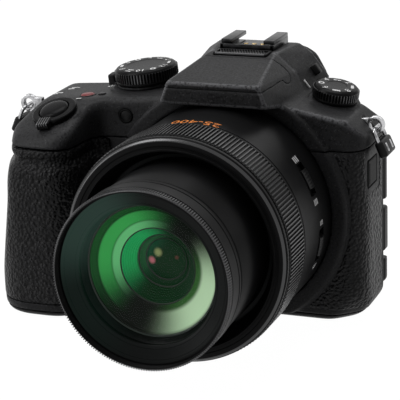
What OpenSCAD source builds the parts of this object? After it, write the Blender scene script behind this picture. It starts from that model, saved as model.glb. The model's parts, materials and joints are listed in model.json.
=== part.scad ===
// Bridge camera: fixed zoom lens, grip on the left of the lens, hump with pop-up flash.
// Millimetres. Origin: mouth of the tripod socket, under the lens axis. +Z up, the lens looks along -Y.

/* [Body] */
// Lens axis to outer side of grip, at its foot
body_left = 88.3; // [87:0.1:90]
// Lens axis to monitor side
body_right = 52.8; // [52:0.2:54]
// Lens axis to outer side of grip, at top seam
side_top = 83; // [82.4:0.1:84]
// Lean of outer side of grip
side_lean = 7; // [5:0.5:8]
// Turn of grip's outer front face
corner_turn = 24; // [22:1:26]
// Step of that face past grip's side, at seam
corner_out = 3.6; // [3:0.1:4]
// Tripod axis to front face
body_front = 16; // [14:0.5:18]
// Tripod axis to rear face
body_rear = 18; // [17:0.5:22]
// Height of lens axis over base
axis_z = 42.6; // [42.4:0.1:43.4]
// Height of seam under top cover
seam_z = 67; // [66:0.5:69]
// Wall of covers
wall = 2; // [1.6:0.1:2.4]
// Thickness of base plate
base_t = 3; // [2.8:0.1:3.4]
// Step from covers in to base plate
base_inset = 1.6; // [1.2:0.1:2]
// Where front cover meets rear cover, behind tripod axis
split_y = 10.5; // [10:0.1:11]
// Corner radius at front, monitor side
corner_front = 8; // [5:0.5:8]
// Corner radius at rear, monitor side
corner_side = 4; // [3:0.5:5]
// Corner radius at rear, grip side
corner_rear = 10; // [6:0.5:11]
// Start of bevelled foot corner on front face, from lens axis
foot_x = 39; // [36:0.5:40]
// Lean of bevelled foot corner
foot_lean = 28; // [24:1:32]
// Width of bevelled foot on monitor side
foot_w = 4.5; // [4:0.25:5]
// Lean of bevelled foot on monitor side
foot_side_lean = 42; // [38:1:46]

/* [Grip] */
// Tripod axis to front of grip
grip_front = 42; // [41:0.5:46]
// Lens axis to inner side of grip
grip_inner = 53; // [52:0.5:54]
// Radius of grip's outer front corner
grip_outer_r = 15; // [12:0.5:16]
// Radius of grip's inner front corner
grip_inner_r = 11; // [8:0.5:12]
// Radius of finger recess
recess_r = 7; // [5:0.5:8]
// Forward lean of shutter deck
deck_fwd = 19; // [17:0.5:21]
// Sideways lean of shutter deck
deck_left = 9; // [7:0.5:10]
// Forward lean of bevel in front of deck
bevel_fwd = 50; // [45:1:55]
// Shutter seat to top of that bevel, along deck
bevel_from = 12.6; // [12.4:0.1:14]

/* [Leatherette] */
// Thickness of leatherette
skin_t = 1.2; // [0.8:0.1:1.4]
// Base plate to lower edge of grip's leatherette
grip_skin_low = 3; // [2:0.5:4]
// Base plate to lower edge of side's leatherette
side_skin_low = 2; // [2:0.5:4]
// Seam to upper edge of leatherette
skin_drop = 3; // [2:0.5:4]
// Lens axis to inner edge of grip's leatherette
grip_skin_x = 47; // [46:0.5:48]
// Lens axis to inner edge of side's leatherette
side_skin_x = 24; // [22:0.5:26]
// Rear edge of leatherette to split of covers
skin_lap = 1; // [0.6:0.1:1.4]
// Edge of leatherette to lens surround
surround_edge = 0.5; // [0.4:0.1:0.8]
// Thumb rest, lens axis to its middle
thumb_x = 67; // [66:0.5:68]
// Thumb rest, height of its middle
thumb_z = 51; // [50:0.5:52]
// Thumb rest width
thumb_w = 14; // [12:0.5:14]
// Thumb rest height
thumb_h = 26; // [24:0.5:27]
// Thumb rest thickness
thumb_t = 3; // [2:0.25:4]
// Corner radius of thumb rest
thumb_r = 5; // [4:0.5:6]

/* [Top] */
// Height of grip-side plate at mode dial
plate_left_z = 82.8; // [82:0.1:83.4]
// Slope of grip-side plate
plate_left_tilt = 5; // [4:0.5:6]
// Height of monitor-side plate at drive dial
plate_right_z = 80.6; // [80:0.1:81.4]
// Slope of monitor-side plate
plate_right_tilt = 11; // [10:0.5:12]
// Lens axis to inner end of each plate
plate_meet = 20; // [18:0.5:21]
// Height where grip-side shoulder starts
shoulder_left_z = 69; // [68:0.5:71]
// Height where monitor-side shoulder starts
shoulder_right_z = 72; // [70:0.5:73]
// Width of each shoulder
shoulder_w = 6.5; // [5:0.5:7]
// Slope of bevel along rear edge
rear_bevel = 40; // [36:1:44]
// Width of that bevel
rear_bevel_in = 7.5; // [7:0.25:8]
// Tripod axis to bevel across rear corner
corner_bevel_from = 38; // [37:0.5:39]

/* [Hump] */
// Top of lens sleeve to hump's top
hump_rise = 13.7; // [13.3:0.1:14.1]
// Top of lens sleeve to brow's lower edge
brow_gap = 0.7; // [0.5:0.1:1.2]
// Hump's top to brow's top edge
brow_drop = 4.6; // [4.2:0.1:5]
// Tripod axis to front of brow
brow_front = 28.5; // [28:0.25:30]
// Half brow's width at its top edge
brow_half = 17.8; // [17:0.2:18.4]
// Half brow's width at its lower edge
brow_foot = 21; // [20:0.5:22]
// Tripod axis back to front end of flat top
crown_y = 6; // [5:0.5:7]
// Half width of top at its front end
crown_half = 12.8; // [12:0.2:13.4]
// Half width of top at its rear end
crown_rear_half = 16; // [15:0.2:16.4]
// Half hump's greatest width
hump_half = 29; // [28:0.5:29.5]
// Step in from that width at front
hump_front_in = 2; // [1:0.5:3]
// Step in from that width at rear
hump_rear_in = 1; // [0.5:0.5:2]
// Step in from that width at rear foot
hump_foot_in = 6; // [5:0.5:7]
// Seam to rear foot of hump
hump_foot_rise = 5; // [4:0.5:6]
// Width of flank beside flat top's front end
flank_w = 7.5; // [7:0.25:8]
// Drop of that flank
flank_drop = 6.6; // [6:0.2:7]
// Width of flank beside flat top's rear end
rear_flank_w = 5; // [4.5:0.25:5.5]
// Drop of that flank
rear_flank_drop = 3.4; // [3:0.2:4]
// Tripod axis to rear of hump
hump_rear = 26; // [25.6:0.2:27]

/* [Flash] */
// Hump's top to side seam of lid
lid_seam_drop = 6.9; // [6.7:0.1:7.1]
// Hump's top to hinge
pin_drop = 4.6; // [4.4:0.1:4.8]
// Hinge to tripod axis
pin_front = 3.5; // [3:0.1:4]
// Radius of hinge pin
lid_pin_r = 1; // [0.8:0.1:1.1]
// Radius of lid's rounded rear end
knuckle_r = 4.4; // [4.2:0.1:4.6]
// Radius of hinge ears
lid_ear = 2.1; // [1.9:0.1:2.3]
// Width of each ear with its gap
ear_t = 3; // [2.6:0.1:3.2]
// Half width of hinge block
lid_core = 6; // [5.5:0.25:6.5]
// Half length of foot of an ear
ear_half = 1.5; // [1.2:0.1:1.8]
// Length of hinge block in front of pin
hinge_reach = 4; // [3.6:0.1:4.4]
// Height of hinge block over pin
hinge_rise = 1.6; // [1.4:0.1:1.8]
// Half width of well under lid
well_half = 15.2; // [15:0.1:15.6]
// Brow's lower edge to floor of well
well_floor_t = 1.4; // [1.2:0.1:1.6]
// Hinge to rear wall of well
well_back = 2.5; // [2.3:0.1:2.7]
// Wall of brow in front of well
brow_wall = 2; // [1.8:0.1:2.2]
// Half width of reflector
reflector_half = 13.5; // [13:0.1:13.8]
// Front of brow to reflector
reflector_in = 4.1; // [4:0.1:4.4]
// Length of reflector
reflector_len = 14.4; // [14:0.1:14.8]
// Thickness of flash window
window_t = 0.8; // [0.7:0.1:0.9]
// Edge of reflector round window
window_edge = 1; // [0.8:0.1:1.2]
// Rise of reflector into lid
reflector_seat = 0.5; // [0.4:0.1:0.7]
// Release slider, lens axis to its middle
release_x = 25.2; // [24.8:0.1:25.6]
// Release slider, tripod axis to its middle
release_y = 18; // [17.5:0.25:18.5]
// Release slider, hump's top to its middle
release_drop = 8.2; // [8:0.1:8.4]
// Lean of release slider
release_lean = 54; // [52:1:56]
// Length of release slider
release_len = 4; // [3.6:0.1:4.4]
// Width of release slider
release_w = 2.6; // [2.4:0.1:2.8]
// Height of release slider
release_h = 2.9; // [2.6:0.1:3]
// Depth of release slider in its slot
release_sink = 2; // [1.8:0.1:2.2]
// Depth of that slot
release_slot = 2.4; // [2.3:0.1:2.6]
// Travel of release slider
release_travel = 3; // [2.5:0.1:3]

/* [Barrel] */
// Radius of fixed barrel
barrel_r = 40.9; // [40.5:0.1:41]
// Gap from fixed barrel to its sleeve in covers
sleeve_gap = 0.4; // [0.3:0.05:0.5]
// Tripod axis to mounting flange
flange_s = 3; // [2.8:0.1:3.4]
// Thickness of mounting flange
flange_t = 5; // [4.5:0.1:5.5]
// Step from neck out to flange's edge
flange_step = 1.1; // [1:0.1:1.2]
// Base to cut foot of flange, over tripod bush
flange_foot = 1.2; // [1:0.1:1.4]
// Wall of neck behind front face
neck_wall = 3.3; // [3:0.1:3.5]
// Radius of control ring
ring_r = 41.9; // [41.6:0.1:42.2]
// Thickness of control ring with its running gap
ring_t = 1.8; // [1.6:0.1:2]
// Tripod axis to rear edge of control ring
ring_from = 50.4; // [50.4:0.2:52]
// Length of control ring
ring_len = 16.1; // [14:0.1:16.5]
// Length of nose in front of control ring
nose_len = 3.3; // [3:0.1:3.6]
// Length of nose's plug in barrel
nose_plug = 6.1; // [5.8:0.1:6.5]
// Wall of that plug
nose_wall = 2.4; // [2.2:0.1:2.6]
// Step from control ring in to nose
nose_in = 0.5; // [0.4:0.1:0.7]
// Bevel of nose's front edge
nose_bevel = 1.2; // [1:0.1:1.4]
// Rim at rear end of nose's cone
nose_rim = 1; // [0.8:0.1:1.2]
// Radius of surround on front cover
surround_r = 47; // [46.4:0.2:47.4]
// Height of surround over front face
surround_h = 1.5; // [1:0.1:2]
// Half angle of a barrel switch
switch_deg = 5; // [4.5:0.25:5.5]
// Swing of a barrel switch each way
switch_swing = 3; // [2.5:0.25:3]
// Play of a switch past its swing
switch_play = 0.5; // [0.4:0.1:0.7]
// Length of a barrel switch
switch_len = 4.6; // [4.2:0.1:4.8]
// Depth of a switch in barrel
switch_sink = 1.3; // [1.2:0.1:1.4]
// Height of a switch over barrel
switch_out = 0.9; // [0.7:0.1:1]
// Upper switch, tripod axis to its middle
upper_switch_s = 31.2; // [30.5:0.1:32]
// Upper switch, angle over horizon
upper_switch_deg = 26.5; // [25:0.5:28]
// Lower switch, tripod axis to its middle
lower_switch_s = 28.8; // [28:0.1:29.5]
// Lower switch, angle over horizon
lower_switch_deg = -10; // [-12:0.5:-8]

/* [Zoom] */
// Radius of zoom barrel
zoom_r = 31.6; // [31.2:0.1:31.6]
// Wall of zoom barrel
zoom_wall = 1.4; // [1.2:0.1:1.5]
// Tripod axis to rear end of zoom barrel
zoom_from = 26; // [25:0.5:27]
// Room for cam ring round zoom barrel
cam_room = 2.4; // [2.2:0.1:2.6]
// Tripod axis to rear end of cam ring
cam_from = 14; // [13:0.5:15]
// Gap from cam ring to nose
cam_gap = 1; // [0.6:0.1:1.4]
// Tripod axis to front ring's rear edge
front_ring_from = 90; // [88:0.5:92]
// Length of front ring
front_ring_len = 11; // [10.5:0.5:12]
// Radius of front ring
front_ring_r = 32.2; // [32:0.1:33]
// Bevel of front ring's edge, along axis
front_bevel = 0.6; // [0.5:0.1:0.8]
// Bevel of front ring's edge, inwards
front_bevel_in = 0.5; // [0.4:0.1:0.6]
// Length of neck that carries front ring
neck_len = 4.5; // [4:0.1:5]
// Ledge behind filter thread
thread_ledge = 0.6; // [0.5:0.1:0.7]

/* [Front group] */
// Radius of glass inside bezel ring
glass_r = 24.8; // [24:0.2:25.4]
// Edge of front glass behind bezel ring
glass_lap = 1.2; // [1:0.1:1.4]
// Rise of front glass from its edge to its middle
glass_rise = 4; // [3.6:0.1:4.4]
// Thickness of front glass
glass_t = 1.1; // [1:0.1:1.4]
// Filter ledge to middle of front glass
glass_sink = 1.4; // [1.2:0.1:1.8]
// Rim of cell round edge of front glass
cell_rim = 1; // [0.8:0.1:1.2]
// Radius of second lens
second_r = 25; // [24.8:0.1:25.2]
// Tripod side of front ring to seat of second lens
second_seat = 8; // [7.8:0.1:8.4]
// Width of that seat
seat_w = 2.5; // [2.2:0.1:3]
// Thickness of that seat
seat_t = 2; // [1.8:0.1:2.2]
// Front glass to dish in second lens
dish_drop = 6.9; // [6.6:0.1:7.2]
// Radius of dish
dish_r = 23.5; // [23:0.1:23.8]
// Front glass to well in dish
well_drop = 11.8; // [11.5:0.1:12]
// Radius of well
well_r = 13.9; // [13.5:0.1:14.2]
// Front glass to waist of well
waist_drop = 17.6; // [17.4:0.1:17.8]
// Radius of waist
waist_r = 9.7; // [9.4:0.1:10]
// Front glass to floor of well
floor_drop = 19.8; // [19.6:0.1:19.9]
// Radius of that floor
floor_r = 7.6; // [7.2:0.1:8]
// Rise of floor in its middle
floor_rise = 0.4; // [0.3:0.1:0.6]
// Thickness of second lens behind floor
floor_t = 0.9; // [0.8:0.05:0.9]
// Radius of second lens behind its seat
hub_r = 15; // [14.6:0.1:16]
// Rear edge of bezel ring to its cone
bezel_t = 1.1; // [1:0.1:1.3]
// Height of bezel ring's cone
bezel_rise = 2.65; // [2.4:0.05:2.8]

/* [Inner groups] */
// Radius of fixed rear tube
rear_tube_r = 26; // [25:0.5:27]
// Wall of fixed rear tube
rear_tube_wall = 4; // [3.5:0.1:4.5]
// Thickness of tube's mounting rim
rear_rim_t = 2; // [1.8:0.1:2.4]
// Mounting rim to rear lens
rear_lens_from = 5; // [4.5:0.1:5.5]
// Thickness of rear lens
rear_lens_t = 5; // [4.5:0.1:5.5]
// Tripod axis to iris
iris_s = 44; // [43.5:0.1:44]
// Thickness of iris unit
iris_t = 4; // [3.5:0.1:4]
// Radius of iris opening
iris_r = 9; // [8:0.5:10]
// Tripod axis to variator cell
variator_s = 56; // [55.8:0.1:56]
// Length of wide end of variator cell
variator_guide = 6; // [5.5:0.1:6]
// Length of narrow end of variator cell
variator_len = 4; // [3.5:0.1:4]
// Wall of narrow end
variator_wall = 5; // [4.5:0.1:5.5]
// Radius of variator lens
variator_r = 17; // [16:0.5:18]
// Cell's edge to variator lens at each end
variator_in = 1; // [0.8:0.1:1.2]
// Narrow end to middle of variator lens's face
variator_face = 1.4; // [1.2:0.1:1.6]
// Radius of curvature of that face
variator_ball = 40; // [38:0.5:42]
// Tripod axis to focus group
focus_s = 22; // [21:0.5:22.5]
// Length of focus group
focus_len = 8; // [7.5:0.1:8.5]
// Radius of focus lens
focus_r = 12; // [11:0.5:13]
// End of focus group to its lens
focus_in = 1.5; // [1.2:0.1:1.8]

/* [Dials] */
// Mode dial centre, sideways
mode_x = -38.8; // [-40:0.2:-38]
// Mode dial centre, front to back
mode_y = 4.3; // [3:0.2:5]
// Mode dial radius
mode_r = 12.3; // [11.5:0.1:12.4]
// Mode dial height
mode_h = 5.9; // [4.5:0.1:6.4]
// Bevel of mode dial
mode_bevel = 1.2; // [1:0.1:1.4]
// Forward lean of mode dial
dial_fwd = 3; // [2:0.5:4]
// Collar round mode dial
mode_collar = 1.5; // [1.2:0.1:1.8]
// Radius of mode dial's shaft
dial_shaft_r = 3; // [2.6:0.1:3.2]
// Drive dial centre, sideways
drive_x = 35.9; // [35:0.2:37]
// Drive dial centre, front to back
drive_y = 5.4; // [4:0.2:7]
// Drive dial radius
drive_r = 8.8; // [8:0.1:9]
// Drive dial height
drive_h = 5.3; // [4.5:0.1:6]
// Bevel of drive dial, along its axis
drive_bevel = 1.1; // [0.9:0.1:1.3]
// Bevel of drive dial, inwards
drive_bevel_in = 1; // [0.8:0.1:1.2]
// Forward lean of drive dial
drive_fwd = 4; // [3:0.5:5]
// Collar round drive dial
drive_collar = 1.2; // [1:0.1:1.4]
// Radius of drive dial's shaft
drive_shaft_r = 2.5; // [2.2:0.1:2.8]
// Height of dials' seats over plates
collar_h = 0.8; // [0.6:0.1:1]
// Depth of bosses under top
boss_h = 4; // [3.6:0.1:4.4]
// Thickness of power lever
lever_t = 1; // [0.8:0.1:1.2]
// Step from mode dial in to power lever
lever_in = 0.6; // [0.4:0.1:0.8]
// Mode dial's edge to outer end of power tab
tab_out = 3.4; // [3:0.1:3.6]
// Mode dial's edge in to root of power tab
tab_lap = 2; // [1.5:0.1:2.5]
// Width of power tab
tab_w = 5; // [4.5:0.1:5.5]
// Height of power tab
tab_h = 4.4; // [4:0.1:4.8]

/* [Release] */
// Shutter button centre, sideways
shutter_x = -64.9; // [-66:0.2:-64]
// Shutter button centre, front to back
shutter_y = -24.7; // [-25.5:0.1:-24]
// Shutter seat height
shutter_z = 76.8; // [76.4:0.1:77.2]
// Shutter button radius
shutter_r = 5.8; // [5.4:0.1:6]
// Thickness of shutter button's edge
shutter_edge = 1.3; // [1.1:0.1:1.5]
// Height of shutter button's dome
dome_h = 0.8; // [0.6:0.1:1]
// Width of that dome's slope
dome_in = 1.5; // [1.2:0.1:1.8]
// Radius of shutter button's stem
shutter_stem_r = 2; // [1.8:0.1:2.2]
// Travel of shutter button
shutter_travel = 1; // [0.6:0.1:1]
// Height of fixed hub under shutter button
hub_h = 0.6; // [0.5:0.1:0.7]
// Zoom lever radius
lever_r = 8.8; // [8.4:0.1:9]
// Height of zoom lever's side
lever_side = 1.5; // [1.3:0.1:1.7]
// Bevel of zoom lever, along its axis
lever_bevel = 0.8; // [0.6:0.1:1]
// Bevel of zoom lever, inwards
lever_bevel_in = 0.9; // [0.7:0.1:1.1]
// Collar round zoom lever
lever_collar = 0.7; // [0.6:0.1:0.9]
// Zoom tab, shutter axis to its outer side
zoom_tab_left = 3.4; // [3:0.1:3.6]
// Zoom tab, shutter axis to its inner side
zoom_tab_right = 1.8; // [1.5:0.1:2.2]
// Zoom lever's edge to front of its tab
zoom_tab_out = 2.6; // [2.2:0.1:2.8]
// Shutter button's edge to root of tab
zoom_tab_root = 0.6; // [0.5:0.1:0.8]
// Height of zoom tab
zoom_tab_h = 3; // [2.7:0.1:3.2]

/* [Buttons] */
// Record button, sideways
record_x = -58.3; // [-59:0.1:-58]
// Record button, front to back
record_y = -9.4; // [-10:0.1:-9]
// Radius of record button
record_r = 2.7; // [2.2:0.1:2.9]
// Function button, sideways
function_x = -52.4; // [-53:0.1:-52]
// Function button, front to back
function_y = -9.2; // [-10:0.1:-9]
// Radius of function button
function_r = 1.7; // [1.4:0.1:2]
// Wall of boss round a button on top
top_boss = 1.4; // [1.2:0.1:1.6]
// Travel of small buttons
button_travel = 0.6; // [0.4:0.1:0.7]
// Height of small buttons over their plate
button_out = 0.5; // [0.4:0.1:0.6]
// Depth of buttons' wells
button_well = 1.9; // [1.8:0.1:2]
// Radius of buttons' stems
stem_r = 1; // [0.8:0.1:1.1]
// Radius of lock and playback buttons
button_r = 2.7; // [2.4:0.1:3]
// Lock and playback buttons, sideways
button_x = -40; // [-41:0.5:-39]
// Height of lock button
lock_z = 61; // [60:0.5:61.5]
// Height of playback button
play_z = 49; // [48:0.5:50]
// Wall of boss round a button at rear
rear_boss = 1.5; // [1.3:0.1:1.7]
// Cursor pad, sideways
pad_x = -55; // [-56:0.5:-54]
// Height of cursor pad
pad_z = 30; // [29:0.5:31]
// Cursor pad radius
pad_r = 10.5; // [9:0.5:11]
// Height of cursor pad over rear
pad_out = 0.6; // [0.5:0.1:0.7]
// Radius of set button
set_r = 4.6; // [4:0.1:5]
// Gap round set button
set_gap = 0.25; // [0.2:0.05:0.3]
// Rear dial, sideways
rear_dial_x = -56; // [-57:0.5:-55]
// Rear dial, front to back
rear_dial_y = 11.8; // [11.4:0.1:12]
// Height of rear dial's underside
rear_dial_z = 70; // [69.5:0.1:70.5]
// Rear dial radius
rear_dial_r = 8; // [7.6:0.1:8.4]
// Rear dial thickness
rear_dial_t = 5; // [4.6:0.1:5.2]
// Half width of rear dial's slot
rear_slot_half = 7.6; // [7.4:0.1:8]
// Radius of rear dial's shaft
rear_shaft_r = 1.5; // [1.3:0.1:1.7]
// Length of rear dial's shaft
rear_shaft_len = 3; // [2.8:0.1:3.2]
// Wall of boss over rear dial
rear_shaft_wall = 1.1; // [1:0.1:1.3]

/* [Monitor] */
// Monitor height
lcd_h = 53; // [51:0.5:53]
// Monitor width
lcd_w = 79.5; // [77:0.5:80]
// Monitor thickness
lcd_t = 5.6; // [5:0.1:5.6]
// Height of monitor's lower edge
lcd_low = 7; // [6.5:0.1:7.5]
// Rear face to monitor's face
lcd_out = 0.7; // [0.5:0.1:0.9]
// Gap round monitor
pan_edge = 0.5; // [0.4:0.1:0.6]
// Wall of monitor's pan
pan_wall = 2; // [1.8:0.1:2.2]
// Height of hinge block's lower end
hinge_low = 20; // [19:0.5:21]
// Height of hinge block
hinge_h = 17.6; // [17:0.2:18]
// Width of hinge block past pivot's round
hinge_side = 0.8; // [0.7:0.1:1]
// Thickness of hinge ears
hinge_ear_t = 2.5; // [2.2:0.1:2.8]
// Half width of an ear's foot
hinge_foot = 2; // [1.8:0.1:2.2]
// Radius of hinge pins
hinge_pin_r = 1; // [0.8:0.1:1.1]
// Edge of monitor round its glass, free side
screen_edge = 4.4; // [4:0.1:4.8]
// Edge of monitor round its glass, from pivot
screen_hinge_edge = 7; // [6.8:0.1:7.4]
// Edge of monitor round its glass, above and below
screen_end = 5; // [4.6:0.1:5.4]
// Depth of glass in monitor
screen_sink = 0.8; // [0.7:0.05:0.9]

/* [Finder] */
// Hump's top to finder's axis
finder_drop = 13.6; // [13.4:0.1:13.8]
// Half width of finder module
evf_half = 14; // [13.5:0.1:14.5]
// Seam to underside of finder module
evf_rise = 7; // [6.6:0.1:7.4]
// Room round finder module
evf_room = 1; // [0.8:0.1:1.2]
// Roof over finder's room
roof_t = 4.6; // [4.4:0.1:4.8]
// Tripod axis back to finder's room
evf_pocket_y = 2; // [1.8:0.1:2.2]
// Tripod axis back to finder module
evf_y = 4; // [3.8:0.1:4.2]
// Rear wall to finder module
evf_back = 1.2; // [1:0.1:1.4]
// Half width of finder window
window_half = 12; // [11.5:0.1:12.5]
// Height of finder window
window_h = 12; // [11.5:0.1:12.5]
// Gap round eyepiece in window
eyepiece_gap = 0.5; // [0.4:0.1:0.6]
// Corner radius of eyepiece
eyepiece_r = 2; // [1.5:0.1:2.5]
// Depth of eyepiece behind hump's rear
eyepiece_sink = 0.6; // [0.5:0.1:0.8]
// Eyecup width
eyecup_w = 54; // [50:0.5:55]
// Eyecup height
eyecup_h = 22; // [21:0.5:22.4]
// Eyecup depth
eyecup_d = 7; // [6:0.2:8]
// Step in of eyecup's sides at their ends
eyecup_in = 5; // [4.5:0.1:5.5]
// Drop of eyecup's shoulders
eyecup_shoulder = 2; // [1.8:0.1:2.2]
// Rise of eyecup's middle
eyecup_crown = 0.8; // [0.6:0.1:1]
// Edge of window inside eyecup
eyecup_edge = 0.8; // [0.6:0.1:1]
// Corner radius of eyecup's opening
eyecup_r = 3; // [2.5:0.1:3.5]
// Dioptre wheel, tripod axis back to its axis
diopter_y = 20; // [19.6:0.1:20.4]
// Dioptre wheel, finder's axis down to its axis
diopter_drop = 3; // [2.8:0.1:3.2]
// Dioptre wheel, lens axis to end of its boss
diopter_x = 28.6; // [28.4:0.1:28.8]
// Dioptre wheel radius
diopter_r = 3.6; // [3.4:0.1:3.8]
// Dioptre wheel width
diopter_w = 2.5; // [2.3:0.1:2.7]
// Wall of boss past dioptre wheel's edge
diopter_boss = 0.6; // [0.5:0.1:0.8]
// Radius of dioptre wheel's shaft
diopter_shaft_r = 1.2; // [1:0.1:1.4]
// Step between ends of boss, its bore and shaft
diopter_step = 1; // [0.8:0.1:1.2]

/* [Mounts] */
// Radius of filter thread, for a 62 mm filter
filter_r = 31; // [30.9:0.05:31.1]
// Length of filter thread
filter_len = 2.8; // [2.4:0.1:3]
// Radius of tripod socket, for a 1/4 inch screw
tripod_r = 3.175; // [3.1:0.025:3.25]
// Depth of tripod socket
tripod_depth = 5.5; // [5:0.1:6]
// Radius of tripod bush
bush_r = 5.5; // [5:0.1:6]
// Floor of tripod bush
bush_floor = 2; // [1.8:0.1:2.2]
// Slot width of accessory shoe
shoe_slot = 18.7; // [18.6:0.05:18.8]
// Gap between shoe's lips
shoe_gap = 12.5; // [12.3:0.1:12.7]
// Slot height of shoe
shoe_slot_h = 2.1; // [2:0.05:2.2]
// Length of shoe
shoe_len = 17.8; // [17.5:0.1:18.2]
// Half width of shoe
shoe_half = 10.7; // [10.6:0.1:11]
// Tripod axis back to shoe
shoe_y = 9.6; // [9.5:0.1:9.8]
// Depth of shoe in hump
shoe_sink = 1.4; // [1.2:0.1:1.6]
// Thickness of shoe's base
shoe_t = 1; // [0.8:0.1:1.2]
// Thickness of shoe's front stop
shoe_stop = 1.2; // [1:0.1:1.4]
// Thickness of shoe's lips
lip_t = 1.6; // [1.4:0.1:1.8]
// Height of strap eyelets
eyelet_z = 73.9; // [73.5:0.1:74.3]
// Hole radius of a strap eyelet
eyelet_r = 1.9; // [1.7:0.1:2]
// Wall round that hole
eyelet_wall = 1.5; // [1.3:0.1:1.7]
// Thickness of an eyelet
eyelet_t = 2.4; // [2.2:0.1:2.6]
// Grip's side to grip-side eyelet
eyelet_left_out = 5.2; // [5:0.1:5.4]
// Monitor side to eyelet there
eyelet_right_out = 0.4; // [0.2:0.1:0.6]
// Depth of an eyelet's root in top cover
lug_in = 4.6; // [4.2:0.1:5]
// Half height of that root
lug_half = 2.6; // [2.4:0.1:2.8]
// Half height of slot for it
lug_slot = 4; // [3.8:0.1:4.2]

/* [Strap rings] */
// Lean of strap rings
ring_lean = 24; // [20:1:28]
// Radius of wire
wire_r = 0.75; // [0.7:0.05:0.8]
// Half width of a ring
ring_half = 4.6; // [4.4:0.1:4.8]
// Length of a ring's legs
ring_leg = 10; // [9.5:0.1:10.5]
// Thickness of a guard
guard_t = 3.4; // [3:0.1:3.8]
// Width of a guard
guard_w = 12; // [11:0.5:13]
// Height of a guard
guard_h = 6.6; // [6.2:0.1:7]
// Guard below ends of legs
guard_end = 1; // [0.8:0.1:1.2]

/* [Grille, lamp and port] */
// Half width of microphone grille
grille_half = 10.5; // [10.2:0.1:10.8]
// Tripod axis back to grille
grille_y = 1.5; // [1.4:0.1:1.6]
// Length of grille
grille_len = 7; // [6.8:0.1:7.1]
// Depth of grille in hump
grille_sink = 1.2; // [1:0.1:1.4]
// Height of grille over hump
grille_out = 0.2; // [0.1:0.1:0.4]
// Slots in grille
grille_slots = 8; // [6:1:8]
// Pitch of slots
slot_pitch = 2.4; // [2.2:0.1:2.5]
// Width of a slot
slot_w = 1.2; // [1:0.1:1.4]
// Edge of grille past slots
slot_edge = 0.9; // [0.7:0.1:1.1]
// Hump's top to floor of slots
slot_depth = 0.5; // [0.4:0.1:0.7]
// Focus lamp, sideways
lamp_x = -40; // [-41:0.5:-39]
// Height of focus lamp
lamp_z = 75.4; // [75:0.1:75.8]
// Radius of focus lamp
lamp_r = 2.5; // [2.2:0.1:2.8]
// Height of focus lamp over front
lamp_out = 0.3; // [0.2:0.1:0.5]
// Depth of focus lamp in front
lamp_in = 1.8; // [1.6:0.1:2]
// Tripod axis to port cover's front edge
flap_front = 8; // [7.5:0.1:8.5]
// Length of port cover
flap_len = 9.6; // [9.2:0.1:10]
// Height of port cover's lower edge
flap_low = 52; // [51.5:0.1:52.5]
// Height of port cover
flap_h = 10; // [9.6:0.1:10.4]
// Thickness of port cover
flap_t = 1.6; // [1.4:0.1:1.8]
// Rim round port cover, above, below and in front
flap_rim = 2; // [1.8:0.1:2.2]
// Rim in front of port cover that leatherette leaves free
flap_free = 1.5; // [1.3:0.1:1.7]
// Rim behind port cover
flap_rear_rim = 3; // [2.8:0.1:3.2]

/* [Battery] */
// Battery width
battery_w = 16.4; // [14:0.2:16.6]
// Battery depth
battery_d = 36; // [32:0.5:36.5]
// Battery height
battery_h = 50; // [46:0.5:52]
// Battery, lens axis to its middle
battery_x = 69.8; // [69.6:0.1:70]
// Battery, tripod axis to its middle
battery_y = 13; // [12.8:0.1:13.2]
// Wall of battery box
box_wall = 1.2; // [1:0.1:1.4]
// Roof of battery box over battery's height
box_top = 2; // [1.8:0.1:2.2]
// Lens axis to door's hinge
door_hinge_x = 60; // [59.8:0.1:60.2]
// Tripod axis to door's front edge
door_front = 34; // [33.8:0.1:34.2]
// Length of door
door_len = 41; // [40.5:0.1:41.2]
// Step from body's outline in to door
door_inset = 5; // [4.8:0.1:5.2]
// Height of door's underside
door_low = 0.3; // [0.2:0.1:0.4]
// Thickness of door
door_t = 2.4; // [2.2:0.1:2.4]
// Room round door's hinge
door_room = 1.6; // [1.5:0.1:1.8]
// Radius of door's axle
axle_r = 0.7; // [0.6:0.05:0.8]
// Length of axle past each end of door
axle_out = 1.8; // [1.6:0.1:2]
// Latch, lens axis to its middle
latch_x = 76; // [75.8:0.1:76.2]
// Latch width
latch_w = 5.4; // [5:0.1:5.6]
// Tripod axis to latch's front edge
latch_front = 17.7; // [17.5:0.1:18]
// Latch length
latch_len = 8; // [7.6:0.1:8.4]
// Latch thickness
latch_t = 1.05; // [0.95:0.05:1.1]
// Door's underside to latch's
latch_sink = 0.15; // [0.1:0.05:0.2]
// Travel of latch
latch_travel = 3.4; // [3:0.1:3.6]

/* [Inside] */
// Thickness of chassis plate
plate_t = 1.5; // [1.3:0.1:1.7]
// Lens axis to chassis plate's free edge
chassis_right = 46; // [45:0.5:46.5]
// Seam to chassis plate's top
chassis_drop = 1; // [0.8:0.1:1.4]
// Opening of chassis round rear tube
tube_room = 4; // [3.8:0.1:4.2]
// Half width of a chassis foot
foot_half = 4; // [3.6:0.1:4.4]
// Height of a chassis foot
foot_h = 5; // [4.8:0.1:5.2]
// Tripod axis to front of a chassis foot
foot_front = 9; // [8.8:0.1:9.4]
// Base screws, lens axis to their axes
screw_x = 36; // [35.5:0.1:36.5]
// Base screws, tripod axis to front pair
screw_front = 6; // [5.8:0.1:6.2]
// Base screws, tripod axis back to rear pair
screw_rear = 7; // [6.8:0.1:7.2]
// Radius of a base screw
screw_r = 1; // [0.9:0.05:1.1]
// Radius of a base screw's head
screw_head_r = 2; // [1.8:0.1:2.2]
// Depth of sinks for heads
head_sink = 1.5; // [1.4:0.1:1.6]
// Depth of screws in chassis
screw_bite = 4; // [3.8:0.1:4.2]
// Half width of sensor's board
sensor_board_half = 34; // [33:0.5:34.5]
// Half height of sensor's board
sensor_board_rise = 18; // [17:0.5:18.5]
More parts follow.
